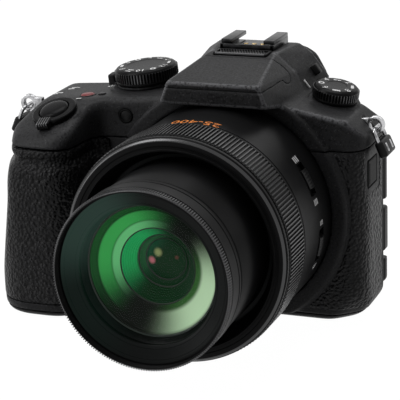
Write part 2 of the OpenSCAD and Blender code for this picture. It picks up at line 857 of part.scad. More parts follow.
// Half width of sensor
sensor_half = 9; // [8:0.5:9.5]
// Half height of sensor
sensor_rise = 7; // [6:0.5:7.5]
// Height of sensor over chassis plate
sensor_out = 2; // [1.8:0.1:2.2]
// Half width of main board
board_half = 44; // [43:0.5:44.5]
// Tripod axis back to main board
board_y = 3; // [2.8:0.1:3.2]
// Thickness of main board
board_t = 1.6; // [1.4:0.1:1.6]
// Base plate to main board
board_rise = 5.4; // [5.3:0.1:5.8]
// Seam to main board's top
board_drop = 5; // [4.5:0.1:5.5]
// Lens axis to posts of main board
post_x = 40; // [39:0.5:41]
// Height of lower posts
post_low = 13; // [12.5:0.5:14]
// Height of upper posts
post_high = 56; // [55:0.5:57]
// Radius of posts
post_r = 2; // [1.8:0.1:2.2]
// Processor, lens axis to its middle
processor_x = -5; // [-6:0.5:-4]
// Height of processor's middle
processor_z = 37; // [36:0.5:38]
// Side of processor
processor_w = 18; // [17:0.5:18]
// Thickness of processor
processor_t = 1.4; // [1.2:0.1:1.6]
// Memory chip, lens axis to its middle
memory_x = 16; // [15:0.5:17]
// Height of memory chip's middle
memory_z = 36; // [35:0.5:37]
// Side of memory chip
memory_w = 12; // [11:0.5:12]
// Thickness of memory chip
memory_t = 1.2; // [1:0.1:1.4]
// Flash capacitor, lens axis to its axis
capacitor_x = 36; // [35:0.5:37]
// Height of flash capacitor's foot
capacitor_z = 16; // [15:0.5:17]
// Radius of flash capacitor
capacitor_r = 2.8; // [2.6:0.05:2.9]
// Length of flash capacitor
capacitor_h = 30; // [28:0.5:31]
// Zoom motor, lens axis to its axis
motor_x = 52; // [51.8:0.1:52.2]
// Height of zoom motor's foot
motor_z = 28; // [27:0.5:29]
// Radius of zoom motor
motor_r = 4.5; // [4.2:0.1:4.6]
// Length of zoom motor
motor_h = 24; // [23:0.5:25]
// Radius of zoom motor's shaft
motor_shaft_r = 1.5; // [1.2:0.1:1.6]
// Length of zoom motor's shaft
motor_shaft_h = 4; // [3.5:0.1:4.5]

/* [Clearances] */
// Radial running fit of a shaft
run_fit = 0.05; // [0.02:0.01:0.08]
// Radial running fit of a lever
lever_fit = 0.08; // [0.06:0.01:0.1]
// Gap between pieces that sit on each other
seat_gap = 0.1; // [0.08:0.01:0.15]
// Gap round an eyelet's root, each side
lug_fit = 0.15; // [0.1:0.01:0.2]
// Gap round a button or a pane
slip = 0.2; // [0.15:0.01:0.25]
// Gap round a moving piece
gap = 0.3; // [0.25:0.05:0.35]
// Gap at ends of an axle or a slot
end_gap = 0.4; // [0.35:0.05:0.5]

/* [Hidden] */
$fn = 64;
over = 1;
far = 200;
bore = 20;
arc_steps = 6;
section_t = 0.1;

// Finish colours
paint_black = [0.13, 0.13, 0.13];
skin_black = [0.09, 0.09, 0.09];
part_black = [0.06, 0.06, 0.06];
glass_green = [0.1, 0.3, 0.2];
steel = [0.75, 0.75, 0.77];
brass = [0.72, 0.58, 0.3];
board_green = [0.1, 0.35, 0.2];
record_red = [0.6, 0.1, 0.1];

// Ranges: about a middle, and on one flank of the lens axis
function about(mid, half) = [mid - half, mid + half];
function flank(side, a, b) = side > 0 ? [a, b] : [-b, -a];

// Outlines
function arc(c, r, a0, a1) =
  [for (k = [0:arc_steps]) c + r * [cos(a0 + (a1 - a0) * k / arc_steps), sin(a0 + (a1 - a0) * k / arc_steps)]];
function rounded(x, z, r) = concat(
  arc([x[1] - r, z[1] - r], r, 0, 90), arc([x[0] + r, z[1] - r], r, 90, 180),
  arc([x[0] + r, z[0] + r], r, 180, 270), arc([x[1] - r, z[0] + r], r, 270, 360));
function both_sides(right) =
  concat(right, [for (k = [len(right) - 1:-1:0]) [-right[k][0], right[k][1]]]);

// Outline of the body seen from above, drawn in by i
function outline(i) = concat(
  arc([body_right - corner_side, body_rear - corner_side], corner_side - i, 0, 90),
  arc([-body_left + corner_rear, body_rear - corner_rear], corner_rear - i, 90, 180),
  arc([-body_left + grip_outer_r, -grip_front + grip_outer_r], grip_outer_r - i, 180, 270),
  arc([-grip_inner - grip_inner_r, -grip_front + grip_inner_r], grip_inner_r - i, 270, 360),
  arc([-grip_inner + recess_r, -body_front - recess_r], recess_r + i, 180, 90),
  arc([body_right - corner_front, -body_front + corner_front], corner_front - i, 270, 360));

// Heights of the two top plates, and their outline seen from the front, drawn in by i
function plate_l(x) = plate_left_z + (x - mode_x) * tan(plate_left_tilt);
function plate_r(x) = plate_right_z - (x - drive_x) * tan(plate_right_tilt);
function profile(i) = [
  [-body_left - over, 0], [body_right + over, 0],
  [body_right + over, shoulder_right_z - over - i],
  [body_right - shoulder_w, plate_r(body_right - shoulder_w) - i],
  [plate_meet, plate_r(plate_meet) - i], [-plate_meet, plate_l(-plate_meet) - i],
  [-side_top + shoulder_w, plate_l(-side_top + shoulder_w) - i],
  [-side_top - over, shoulder_left_z - over - i], [-body_left - over, shoulder_left_z - over - i]];

// Seats of the controls
mode_seat = [mode_x, mode_y, plate_left_z + collar_h];
drive_seat = [drive_x, drive_y, plate_right_z + collar_h];
shutter_seat = [shutter_x, shutter_y, shutter_z];
mode_from = lever_t + 2 * gap;
mode_top = mode_from + mode_h;
drive_top = gap + drive_h;
cap_low = hub_h + shutter_travel + seat_gap;
cap_edge = cap_low + shutter_edge;
lever_top = slip + lever_side;
button_low = button_travel + gap - button_well;
lock_at = [button_x, lock_z];
play_at = [button_x, play_z];
pad_at = [pad_x, pad_z];
rear_dial_top = rear_dial_z + rear_dial_t;
rear_shaft_top = rear_dial_top + rear_shaft_len;
lamp_at = [lamp_x, lamp_z];

// Lens stations, measured forward from the tripod axis
bore_r = zoom_r + cam_room;
sleeve_r = barrel_r + sleeve_gap;
neck_out_r = bore_r + neck_wall;
lens_hole_r = neck_out_r + end_gap;
flange_r = neck_out_r + flange_step;
flange_to = flange_s + flange_t;
ring_seat_r = ring_r - ring_t;
ring_to = ring_from + ring_len;
nose_bore_r = bore_r + nose_wall;
nose_in_r = bore_r - nose_rim;
nose_r = ring_r - nose_in;
nose_from = ring_to + end_gap;
nose_plug_s = ring_to - nose_plug;
nose_to = ring_to + nose_len;
zoom_in_r = zoom_r - zoom_wall;
front_to = front_ring_from + front_ring_len;
thread_from = front_to - filter_len;
ledge_r = filter_r - thread_ledge;
neck_r = filter_r - seat_gap;
neck_to = front_ring_from + neck_len;
switch_room = switch_deg + switch_swing + switch_play;
rear_tube_in = rear_tube_r - rear_tube_wall;
rear_rim_s = flange_s + rear_rim_t;
variator_mid = variator_s + variator_guide;
variator_to = variator_mid + variator_len;

// Front group: the dish is a ball that passes through its edge and through the mouth of the well
vertex_s = thread_from - glass_sink;
glass_edge_r = glass_r + glass_lap;
glass_ball_r = (glass_edge_r * glass_edge_r + glass_rise * glass_rise) / (2 * glass_rise);
ledge_s = vertex_s - glass_rise - glass_t - seat_gap;
lens_seat_s = front_ring_from - second_seat;
dish_s = vertex_s - dish_drop;
dish_well_s = vertex_s - well_drop;
dish_mid = (dish_r * dish_r - well_r * well_r + dish_s * dish_s - dish_well_s * dish_well_s)
  / (2 * (dish_s - dish_well_s));
dish_ball_r = norm([dish_r, dish_s - dish_mid]);
well_floor_s = vertex_s - floor_drop;
bezel_s = thread_from - run_fit - bezel_rise;

// Hump and flash, over the lens sleeve
sleeve_top = axis_z + sleeve_r;
hump_top = sleeve_top + hump_rise;
brow_bottom = sleeve_top + brow_gap;
brow_top = hump_top - brow_drop;
lid_seam_z = hump_top - lid_seam_drop;
pin_at = [-pin_front, hump_top - pin_drop];
well_floor = brow_bottom + well_floor_t;
reflector_y = -brow_front + reflector_in;
release_at = [release_x, release_y, hump_top - release_drop];
ear_out = lid_core + ear_t;
ear_room = ear_out + 2 * end_gap;
ear_space = end_gap + gap;

// Finder and monitor
evf_z = hump_top - finder_drop;
evf_low = seam_z + evf_rise;
evf_to = hump_rear - wall - evf_back;
diopter_at = [diopter_y, evf_z - diopter_drop];
lcd_left = body_right - lcd_w;
lcd_y1 = body_rear + lcd_out;
lcd_y0 = lcd_y1 - lcd_t;
lcd_z = [lcd_low, lcd_low + lcd_h];
lcd_pivot = [body_right - lcd_t / 2, lcd_y0 + lcd_t / 2];
hinge_z = [hinge_low, hinge_low + hinge_h];
hinge_mid = [lcd_pivot[1], hinge_low + hinge_h / 2];
screen_x = [lcd_left + screen_edge, lcd_pivot[0] - screen_hinge_edge];

// Base, sides and inside
corner_top = side_top + corner_out;
bush_h = tripod_depth + bush_floor;
door_y = [-door_front, door_len - door_front];
door_z = [door_low, door_low + door_t];
door_mid = door_low + door_t / 2;
latch_z = [door_low + latch_sink, door_low + latch_sink + latch_t];
screw_at = [for (x = [-screw_x, screw_x], y = [-screw_front, screw_rear]) [x, y]];
battery_in = [battery_w / 2 + gap, battery_d / 2 + gap];
eyelet_left_x = -side_top - eyelet_left_out;
eyelet_right_x = body_right + eyelet_right_out;
flap_y = [-flap_front, flap_len - flap_front];
flap_z = [flap_low, flap_low + flap_h];
chassis_back = plate_t - flange_s;
board_back = board_y + board_t;
motor_at = [-motor_x, -flange_s - gap - motor_r, motor_z];

// Small builders
module block(x, y, z) translate([x[0], y[0], z[0]]) cube([x[1] - x[0], y[1] - y[0], z[1] - z[0]]);
module slab(points, z) translate([0, 0, z[0]]) linear_extrude(z[1] - z[0]) polygon(points);
module upright(points, y) translate([0, y[1], 0]) rotate([90, 0, 0]) linear_extrude(y[1] - y[0]) polygon(points);
module on_axis() translate([0, 0, axis_z]) rotate([90, 0, 0]) children();
module rod(r, s) on_axis() translate([0, 0, s[0]]) cylinder(r = r, h = s[1] - s[0]);
module tube(ro, ri, s) difference() {
  rod(ro, s);
  rod(ri, [s[0] - over, s[1] + over]);
}
module ball(r, s) on_axis() translate([0, 0, s]) sphere(r = r);
module turned(points) on_axis() rotate_extrude() polygon(points);
module sector(r, s, mid, half) on_axis() translate([0, 0, s[0]]) rotate([0, 0, mid - half])
  rotate_extrude(angle = 2 * half) translate([r[0], 0]) square([r[1] - r[0], s[1] - s[0]]);
module seat(p, left, fwd) translate(p) rotate([fwd, -left, 0]) children();
module post(r, h) translate([0, 0, h[0]]) cylinder(r = r, h = h[1] - h[0]);
module taper(r, in, h) translate([0, 0, h[0]]) cylinder(r1 = r, r2 = r - in, h = h[1] - h[0]);
module stand(p, r, z) translate([p[0], p[1], 0]) post(r, z);
module across(p, r, x) translate([x[0], p[0], p[1]]) rotate([0, 90, 0]) cylinder(r = r, h = x[1] - x[0]);
module along(p, r, y) translate([p[0], y[1], p[1]]) rotate([90, 0, 0]) cylinder(r = r, h = y[1] - y[0]);
module below(i) translate([-far, -far, -far - i]) cube([2 * far, 2 * far, far]);
module at_mode() seat(mode_seat, plate_left_tilt, dial_fwd) children();
module at_drive() seat(drive_seat, -plate_right_tilt, drive_fwd) children();
module at_shutter() seat(shutter_seat, deck_left, deck_fwd) children();
module on_plate(x, y) seat([x, y, plate_l(x)], plate_left_tilt, 0) children();
module on_rear(p) translate([p[0], body_rear, p[1]]) rotate([-90, 0, 0]) children();
module at_release() translate(release_at) rotate([0, release_lean, 0]) children();

// Body forms, drawn in by i
module leaned(i) intersection() {
  translate([-side_top, 0, seam_z]) rotate([0, side_lean, 0]) translate([i, -far, -far]) cube(2 * far);
  rotate([0, 0, corner_turn]) translate([-corner_top, 0, seam_z]) rotate([0, side_lean, 0])
    translate([i, -far, -far]) cube(2 * far);
}
module foot_corner(i) translate([foot_x, -body_front, 0]) rotate([0, 0, -45]) rotate([0, foot_lean, 0])
  translate([-2 * far - i, -far, -far]) cube(2 * far);
module foot_side(i) translate([body_right - foot_w, 0, 0]) rotate([0, foot_side_lean, 0])
  translate([-2 * far - i, -far, -far]) cube(2 * far);
module body_form(i, z) intersection() {
  slab(outline(i), z);
  leaned(i);
  foot_corner(i);
  foot_side(i);
}
module top_form(i, z0) intersection() {
  slab(outline(i), [z0, far]);
  upright(profile(i), [-far, far]);
  leaned(i);
  at_shutter() below(i);
  at_shutter() translate([0, -bevel_from, 0]) rotate([bevel_fwd - deck_fwd, 0, 0]) below(i);
  translate([0, body_rear - rear_bevel_in, plate_left_z - collar_h]) rotate([-rear_bevel, 0, 0]) below(i);
  rotate([0, 0, 45]) translate([corner_bevel_from, 0, plate_right_z - collar_h]) rotate([0, rear_bevel, 0])
    below(i);
}
// Hump, widened by w
function brow_section(w) = both_sides([[brow_foot + w, brow_bottom], [brow_half + w, brow_top]]);
function crown_section(w) = both_sides([[hump_half - hump_front_in + w, plate_right_z - hump_front_in],
  [crown_half + flank_w + w, hump_top - flank_drop], [crown_half + w, hump_top]]);
rear_section = both_sides([[hump_half - hump_foot_in, seam_z + hump_foot_rise],
  [hump_half - hump_rear_in, brow_bottom + end_gap],
  [crown_rear_half + rear_flank_w, hump_top - rear_flank_drop], [crown_rear_half, hump_top - seat_gap]]);
module hump_front(w) hull() {
  upright(brow_section(w), [-brow_front, -brow_front + section_t]);
  upright(crown_section(w), [crown_y, crown_y + section_t]);
}
module hump() {
  hump_front(0);
  hull() {
    upright(crown_section(0), [crown_y, crown_y + section_t]);
    upright(rear_section, [hump_rear - section_t, hump_rear]);
  }
}
module lid_zone(grow) {
  block([-far, far], [-far, -pin_front], [lid_seam_z - grow, far]);
  across(pin_at, knuckle_r + grow, [-far, far]);
}
module skin(z0) difference() {
  body_form(0, [base_t + z0, seam_z - skin_drop]);
  body_form(skin_t, [0, far]);
}
module grip_skin() intersection() {
  skin(grip_skin_low);
  block([-far, -grip_skin_x], [-far, split_y - skin_lap], [0, far]);
}
module side_skin() difference() {
  intersection() {
    skin(side_skin_low);
    block([side_skin_x, far], [-far, split_y - skin_lap], [0, far]);
  }
  rod(surround_r + surround_edge, [-far, far]);
  block([body_right - far, far], [flap_y[0] - flap_free, flap_y[1] + flap_rear_rim],
    [flap_z[0] - flap_rim, far]);
}
module surround() tube(surround_r, sleeve_r, [body_front - wall / 2, body_front + surround_h]);

// Covers
module front_cover() color(paint_black) difference() {
  union() {
    difference() {
      body_form(0, [base_t, seam_z]);
      body_form(wall, [0, far]);
    }
    intersection() {
      surround();
      block([-far, far], [-far, far], [base_t, seam_z]);
    }
    block([body_right - wall - flap_t, body_right - wall / 2], [flap_y[0] - flap_rim, flap_y[1] + flap_rear_rim],
      [flap_z[0] - flap_rim, flap_z[1] + flap_rim]);
  }
  block([-far, far], [split_y, far], [0, far]);
  rod(lens_hole_r, [0, far]);
  rod(sleeve_r, [body_front, far]);
  grip_skin();
  side_skin();
  block([body_right - flap_t - seat_gap, far], [flap_y[0] - gap, flap_y[1] + flap_t / 2 + gap],
    [flap_z[0] - gap, flap_z[1] + gap]);
}

module monitor_ears() for (z = [hinge_z[0] - gap - hinge_ear_t, hinge_z[1] + gap]) {
  stand(lcd_pivot, lcd_t / 2 - slip, [z, z + hinge_ear_t]);
  block(about(lcd_pivot[0], hinge_foot), [split_y, lcd_pivot[1]], [z, z + hinge_ear_t]);
}
module rear_cover() color(paint_black) difference() {
  union() {
    difference() {
      intersection() {
        body_form(0, [base_t, seam_z]);
        block([-far, far], [split_y, far], [0, far]);
      }
      difference() {
        body_form(wall, [0, far]);
        block([lcd_left - pan_edge - pan_wall, far], [split_y, far],
          [base_t, lcd_z[1] + pan_edge + pan_wall]);
      }
      block([lcd_left - pan_edge, far], [lcd_y0 - gap, far], [lcd_z[0] - pan_edge, lcd_z[1] + pan_edge]);
    }
    monitor_ears();
    for (p = [lock_at, play_at]) along(p, button_r + rear_boss, [body_rear - boss_h, body_rear]);
    along(pad_at, pad_r + rear_boss, [body_rear - boss_h, body_rear]);
  }
  stand(lcd_pivot, hinge_pin_r + run_fit,
    [hinge_z[0] - hinge_ear_t - 2 * gap, hinge_z[1] + hinge_ear_t + 2 * gap]);
  for (p = [lock_at, play_at]) along(p, button_r + slip, [body_rear - button_well, far]);
  along(pad_at, pad_r + slip, [body_rear - button_well, far]);
  for (p = [lock_at, play_at, pad_at]) along(p, stem_r + run_fit, [0, far]);
}

module shaft_bosses() {
  at_mode() post(mode_r + mode_collar, [-boss_h, 0]);
  at_drive() post(drive_r + drive_collar, [-boss_h, 0]);
  at_shutter() post(lever_r + lever_collar, [-boss_h, 0]);
  at_shutter() post(shutter_r + slip, [-boss_h, hub_h]);
  on_plate(record_x, record_y) post(record_r + top_boss, [-boss_h, 0]);
  on_plate(function_x, function_y) post(function_r + top_boss, [-boss_h, 0]);
  stand([rear_dial_x, rear_dial_y], rear_shaft_r + rear_shaft_wall,
    [rear_dial_top + end_gap, rear_shaft_top + 2 * gap]);
}
module shaft_bores() {
  at_mode() post(dial_shaft_r + run_fit, [-bore, over]);
  at_drive() post(drive_shaft_r + run_fit, [-bore, over]);
  at_shutter() post(shutter_stem_r + run_fit, [-bore, over]);
  on_plate(record_x, record_y) button_bore(record_r);
  on_plate(function_x, function_y) button_bore(function_r);
  stand([rear_dial_x, rear_dial_y], rear_shaft_r + run_fit, [rear_dial_z, rear_shaft_top + gap]);
}
module button_bore(r) {
  post(r + slip, [-button_well, over]);
  post(stem_r + run_fit, [-bore, over]);
}
module flash_ears() for (side = [-1, 1]) {
  across(pin_at, lid_ear, flank(side, lid_core + end_gap, ear_out));
  block(flank(side, lid_core + end_gap, ear_out), about(pin_at[0], ear_half), [well_floor - over, pin_at[1]]);
}
module flash_well()
  block(about(0, well_half), [-brow_front + brow_wall, -pin_front - well_back], [well_floor, far]);
module top_shell() difference() {
  union() {
    difference() {
      top_form(0, seam_z);
      intersection() {
        hump_front(gap);
        lid_zone(gap);
      }
      flash_well();
    }
    difference() {
      intersection() {
        hump();
        block([-far, far], [-far, far], [seam_z, far]);
      }
      lid_zone(gap);
      flash_well();
    }
    intersection() {
      surround();
      block([-far, far], [-far, far], [seam_z, brow_bottom]);
    }
  }
  top_form(wall, 0);
  block(about(0, evf_half + evf_room), [evf_pocket_y, hump_rear - wall], [evf_low, hump_top - roof_t]);
}
module top_cover() color(paint_black) difference() {
  union() {
    top_shell();
    shaft_bosses();
    across(diopter_at, diopter_r + diopter_boss, [evf_half + 2 * diopter_step, diopter_x]);
    flash_ears();
  }
  rod(lens_hole_r, [wall, far]);
  rod(sleeve_r, [body_front, far]);
  rod(lens_hole_r + over, [wall, flange_to + gap]);
  shaft_bores();
  across(pin_at, lid_pin_r + run_fit, about(0, ear_out + over));
  block(about(0, grille_half + seat_gap), [grille_y - seat_gap, grille_y + grille_len + seat_gap],
    [hump_top - grille_sink, far]);
  block(about(0, shoe_half + gap), [shoe_y - slip, far], [hump_top - shoe_sink, far]);
  block(about(0, window_half), [hump_rear - 2 * wall, far], about(evf_z, window_h / 2));
  block(about(rear_dial_x, rear_slot_half), [rear_dial_y, far],
    [rear_dial_z - end_gap, rear_dial_top + end_gap]);
  along(lamp_at, lamp_r + run_fit, [-far, -body_front + 2 * wall]);
  across(diopter_at, diopter_shaft_r + run_fit, [evf_half + 3 * diopter_step, far]);
  across(diopter_at, diopter_r + gap, [diopter_x, diopter_x + diopter_w + 2 * gap]);
  for (x = [[body_right - lug_in - slip, far], [-far, -side_top + lug_in + slip]])
    block(x, about(0, eyelet_t / 2 + lug_fit), about(eyelet_z, lug_slot));
  at_release() block([-release_len / 2 - gap, release_len / 2 + release_travel + gap],
    about(0, release_w / 2 + gap), [-release_slot, bore]);
}

module base_plate() color(part_black) difference() {
  body_form(base_inset, [0, base_t]);
  intersection() {
    slab(outline(door_inset - gap), [-over, base_t + over]);
    block([-far, -door_hinge_x + door_room], [door_y[0] - gap, door_y[1] + gap], [-over, far]);
  }
  along([-door_hinge_x, door_mid], axle_r + run_fit,
    [door_y[0] - axle_out - end_gap, door_y[1] + axle_out + end_gap]);
  post(bush_r + run_fit, [-over, base_t + over]);
  for (p = screw_at) {
    stand(p, screw_r + run_fit, [-over, base_t + over]);
    stand(p, screw_head_r + slip, [-over, head_sink]);
  }
}

module grip_rubber() color(skin_black) grip_skin();
module front_leatherette() color(skin_black) side_skin();
module thumb_rest() color(skin_black)
  upright(rounded(about(-thumb_x, thumb_w / 2), about(thumb_z, thumb_h / 2), thumb_r),
    [body_rear, body_rear + thumb_t]);

// Inside
module battery_box(grow, z)
  block(about(-battery_x, battery_in[0] + grow), about(-battery_y, battery_in[1] + grow), z);
module chassis() color(steel) difference() {
  union() {
    block([-battery_x + battery_w / 2, chassis_right], [-flange_s, chassis_back], [base_t, seam_z - chassis_drop]);
    for (x = [-screw_x, screw_x])
      block(about(x, foot_half), [-foot_front, split_y - end_gap], [base_t, base_t + foot_h]);
    battery_box(box_wall, [base_t, base_t + battery_h + box_top]);
  }
  rod(rear_tube_r + tube_room, [-over, 2 * flange_s]);
  battery_box(0, [0, base_t + battery_h + 2 * gap]);
  post(bush_r + gap, [0, bush_h + gap]);
  for (p = screw_at) stand(p, screw_r + run_fit, [0, base_t + screw_bite]);
}
module sensor_unit() color(board_green) {
  block(about(0, sensor_board_half), [chassis_back, chassis_back + plate_t], about(axis_z, sensor_board_rise));
  block(about(0, sensor_half), [-flange_s - sensor_out, chassis_back], about(axis_z, sensor_rise));
}
module main_board() color(board_green) {
  block(about(0, board_half), [board_y, board_back], [base_t + board_rise, seam_z - board_drop]);
  for (x = [-post_x, post_x], z = [post_low, post_high]) along([x, z], post_r, [chassis_back, board_y]);
  block(about(processor_x, processor_w / 2), [board_back, board_back + processor_t],
    about(processor_z, processor_w / 2));
  block(about(memory_x, memory_w / 2), [board_back, board_back + memory_t], about(memory_z, memory_w / 2));
  stand([capacitor_x, board_back + capacitor_r - slip], capacitor_r,
    [capacitor_z, capacitor_z + capacitor_h]);
}
module battery() color(part_black) block(about(-battery_x, battery_w / 2), about(-battery_y, battery_d / 2),
  [base_t + slip, base_t + slip + battery_h]);
module evf_module() color(part_black) {
  block(about(0, evf_half), [evf_y, evf_to], [evf_low, hump_top - roof_t - evf_room]);
  upright(rounded(about(0, window_half - eyepiece_gap), about(evf_z, window_h / 2 - eyepiece_gap), eyepiece_r),
    [evf_to, hump_rear - eyepiece_sink]);
}
module zoom_motor() color(steel) translate(motor_at) {
  post(motor_r, [0, motor_h]);
  post(motor_shaft_r, [motor_h, motor_h + motor_shaft_h]);
}

// Lens
module switch_slot(s, mid) sector([barrel_r - switch_sink - slip, barrel_r + over], about(s, switch_len / 2 + gap),
  mid, switch_room);
module lens_barrel() color(part_black) difference() {
  union() {
    rod(neck_out_r, [flange_to, body_front + over]);
    rod(barrel_r, [body_front + seat_gap, ring_from - end_gap]);
    rod(ring_seat_r, [ring_from - end_gap - over, ring_to + seat_gap]);
    intersection() {
      rod(flange_r, [flange_s, flange_to]);
      block([-far, far], [-far, far], [bush_h + flange_foot, far]);
    }
  }
  rod(bore_r, [0, far]);
  rod(nose_bore_r, [nose_plug_s - end_gap, far]);
  switch_slot(upper_switch_s, upper_switch_deg);
  switch_slot(lower_switch_s, lower_switch_deg);
}
module barrel_nose() color(part_black) turned([[nose_in_r, nose_plug_s], [nose_bore_r - run_fit, nose_plug_s],
  [nose_bore_r - run_fit, nose_from], [nose_r, nose_from], [nose_r, nose_to - nose_bevel],
  [nose_r - nose_bevel, nose_to], [nose_bore_r - slip, nose_to], [nose_in_r, nose_plug_s + nose_rim]]);
module control_ring() color(part_black) tube(ring_r, ring_seat_r + seat_gap, [ring_from, ring_to]);
module cam_ring() color(steel) tube(bore_r - seat_gap, zoom_r + seat_gap, [cam_from, nose_plug_s - cam_gap]);
module zoom_barrel() color(part_black) turned([[zoom_in_r, zoom_from], [zoom_r, zoom_from],
  [zoom_r, front_ring_from - run_fit], [neck_r, front_ring_from - run_fit], [neck_r, neck_to],
  [zoom_in_r, neck_to], [zoom_in_r, ledge_s + cell_rim], [glass_edge_r + run_fit, ledge_s + cell_rim],
  [glass_edge_r + run_fit, ledge_s], [second_r, ledge_s], [second_r, lens_seat_s],
  [second_r - seat_w, lens_seat_s], [second_r - seat_w, lens_seat_s - seat_t], [zoom_in_r, lens_seat_s - seat_t]]);
module filter_ring() color(part_black) turned([[neck_r + run_fit, front_ring_from], [front_ring_r, front_ring_from],
  [front_ring_r, front_to - front_bevel], [front_ring_r - front_bevel_in, front_to], [filter_r, front_to],
  [filter_r, thread_from], [ledge_r, thread_from], [ledge_r, neck_to + seat_gap],
  [neck_r + run_fit, neck_to + seat_gap]]);
module name_ring() color(part_black) turned([[glass_r, bezel_s - bezel_t], [glass_r, bezel_s],
  [ledge_r, bezel_s + bezel_rise], [ledge_r, bezel_s]]);
module front_glass() intersection() {
  rod(glass_edge_r, [ledge_s, thread_from]);
  difference() {
    ball(glass_ball_r, vertex_s - glass_ball_r);
    ball(glass_ball_r, vertex_s - glass_ball_r - glass_t);
  }
}
module second_lens() difference() {
  union() {
    rod(second_r - run_fit, [lens_seat_s + seat_gap, ledge_s - seat_gap]);
    rod(hub_r, [well_floor_s - floor_t, lens_seat_s + over]);
  }
  ball(dish_ball_r, dish_mid);
  turned([[0, dish_s], [dish_r, dish_s], [second_r, ledge_s - seat_gap], [second_r, far], [0, far]]);
  turned([[0, well_floor_s + floor_rise], [floor_r, well_floor_s], [waist_r, vertex_s - waist_drop],
    [well_r, dish_well_s], [well_r, dish_s], [0, dish_s]]);
}
module front_lens() color(glass_green) {
  front_glass();
  second_lens();
}
module variator_cell() color(part_black) {
  tube(zoom_in_r - end_gap, variator_r, [variator_s, variator_mid]);
  tube(variator_r + variator_wall, variator_r, [variator_mid, variator_to]);
}
module variator_lens() color(glass_green) intersection() {
  rod(variator_r - run_fit, [variator_s + variator_in, variator_to - variator_in]);
  ball(variator_ball, variator_to - variator_face - variator_ball);
}
module iris_unit() color(part_black) tube(rear_tube_r, iris_r, [iris_s, iris_s + iris_t]);
module rear_lens_cell() color(part_black) {
  tube(rear_tube_r, rear_tube_in, [rear_rim_s, iris_s]);
  tube(nose_in_r, rear_tube_in, [flange_s, rear_rim_s]);
  rod(rear_tube_in - run_fit, [flange_s + rear_lens_from, flange_s + rear_lens_from + rear_lens_t]);
}
module focus_group() color(part_black) {
  tube(rear_tube_in - gap, focus_r + run_fit, [focus_s, focus_s + focus_len]);
  rod(focus_r, [focus_s + focus_in, focus_s + focus_len - focus_in]);
}
module barrel_switch(s, mid) color(part_black)
  sector([barrel_r - switch_sink, barrel_r + switch_out], about(s, switch_len / 2), mid, switch_deg);
module stabiliser_switch() barrel_switch(upper_switch_s, upper_switch_deg);
module focus_switch() barrel_switch(lower_switch_s, lower_switch_deg);

// Controls
module shutter_button() color(part_black) at_shutter() {
  post(shutter_stem_r, [-boss_h, cap_low]);
  post(shutter_r, [cap_low, cap_edge]);
  taper(shutter_r, dome_in, [cap_edge, cap_edge + dome_h]);
}
module zoom_lever() color(part_black) at_shutter() difference() {
  union() {
    post(lever_r, [slip, lever_top]);
    taper(lever_r, lever_bevel_in, [lever_top, lever_top + lever_bevel]);
    block([-zoom_tab_left, zoom_tab_right], [-lever_r - zoom_tab_out, -shutter_r - zoom_tab_root],
      [slip, zoom_tab_h]);
  }
  post(shutter_r + slip + lever_fit, [-over, zoom_tab_h + over]);
}
module mode_dial() color(part_black) at_mode() {
  post(dial_shaft_r, [-boss_h - over, mode_from]);
  post(mode_r, [mode_from, mode_top - mode_bevel]);
  taper(mode_r, mode_bevel, [mode_top - mode_bevel, mode_top]);
}
module power_lever() color(paint_black) at_mode() difference() {
  union() {
    post(mode_r - lever_in, [slip, slip + lever_t]);
    block([-mode_r - tab_out, -mode_r + tab_lap], about(0, tab_w / 2), [slip, slip + lever_t]);
    block([-mode_r - tab_out, -mode_r - end_gap], about(0, tab_w / 2), [slip, tab_h]);
  }
  post(dial_shaft_r + lever_fit, [-over, mode_from + over]);
}
module drive_dial() color(part_black) at_drive() {
  post(drive_shaft_r, [-boss_h - over, gap]);
  post(drive_r, [gap, drive_top - drive_bevel]);
  taper(drive_r, drive_bevel_in, [drive_top - drive_bevel, drive_top]);
}
module small_button(r) {
  post(stem_r, [-boss_h, button_low]);
  post(r, [button_low, button_out]);
}
module record_button() color(record_red) on_plate(record_x, record_y) small_button(record_r);
module function_button() color(part_black) on_plate(function_x, function_y) small_button(function_r);
module lock_button() color(part_black) on_rear(lock_at) small_button(button_r);
module playback_button() color(part_black) on_rear(play_at) small_button(button_r);
module cursor_pad() color(part_black) on_rear(pad_at) difference() {
  post(pad_r, [button_low, pad_out]);
  post(set_r + set_gap, [-boss_h, boss_h]);
}
module set_button() color(part_black) on_rear(pad_at) small_button(set_r);
module rear_dial() color(part_black) {
  stand([rear_dial_x, rear_dial_y], rear_dial_r, [rear_dial_z, rear_dial_top]);
  stand([rear_dial_x, rear_dial_y], rear_shaft_r, [rear_dial_top, rear_shaft_top]);
}

// Hump
shoe_base = hump_top - shoe_sink + shoe_t;
shoe_lip = shoe_base + shoe_slot_h;
module hot_shoe() color(steel) {
  block(about(0, shoe_half), [shoe_y, shoe_y + shoe_len], [hump_top - shoe_sink, shoe_base]);
  block(about(0, shoe_half), [shoe_y, shoe_y + shoe_stop], [shoe_base, shoe_lip]);
  for (side = [-1, 1]) {
    block(flank(side, shoe_slot / 2, shoe_half), [shoe_y, shoe_y + shoe_len], [shoe_base, shoe_lip]);
    block(flank(side, shoe_gap / 2, shoe_half), [shoe_y, shoe_y + shoe_len], [shoe_lip, shoe_lip + lip_t]);
  }
}
module mic_grille() color(part_black) difference() {
  block(about(0, grille_half), [grille_y, grille_y + grille_len], [hump_top - grille_sink, hump_top + grille_out]);
  for (k = [0:grille_slots - 1])
    block(about((k - (grille_slots - 1) / 2) * slot_pitch, slot_w / 2),
      [grille_y + slot_edge, grille_y + grille_len - slot_edge], [hump_top - slot_depth, far]);
}
module af_lamp() color(glass_green) along(lamp_at, lamp_r, [-body_front - lamp_out, -body_front + lamp_in]);
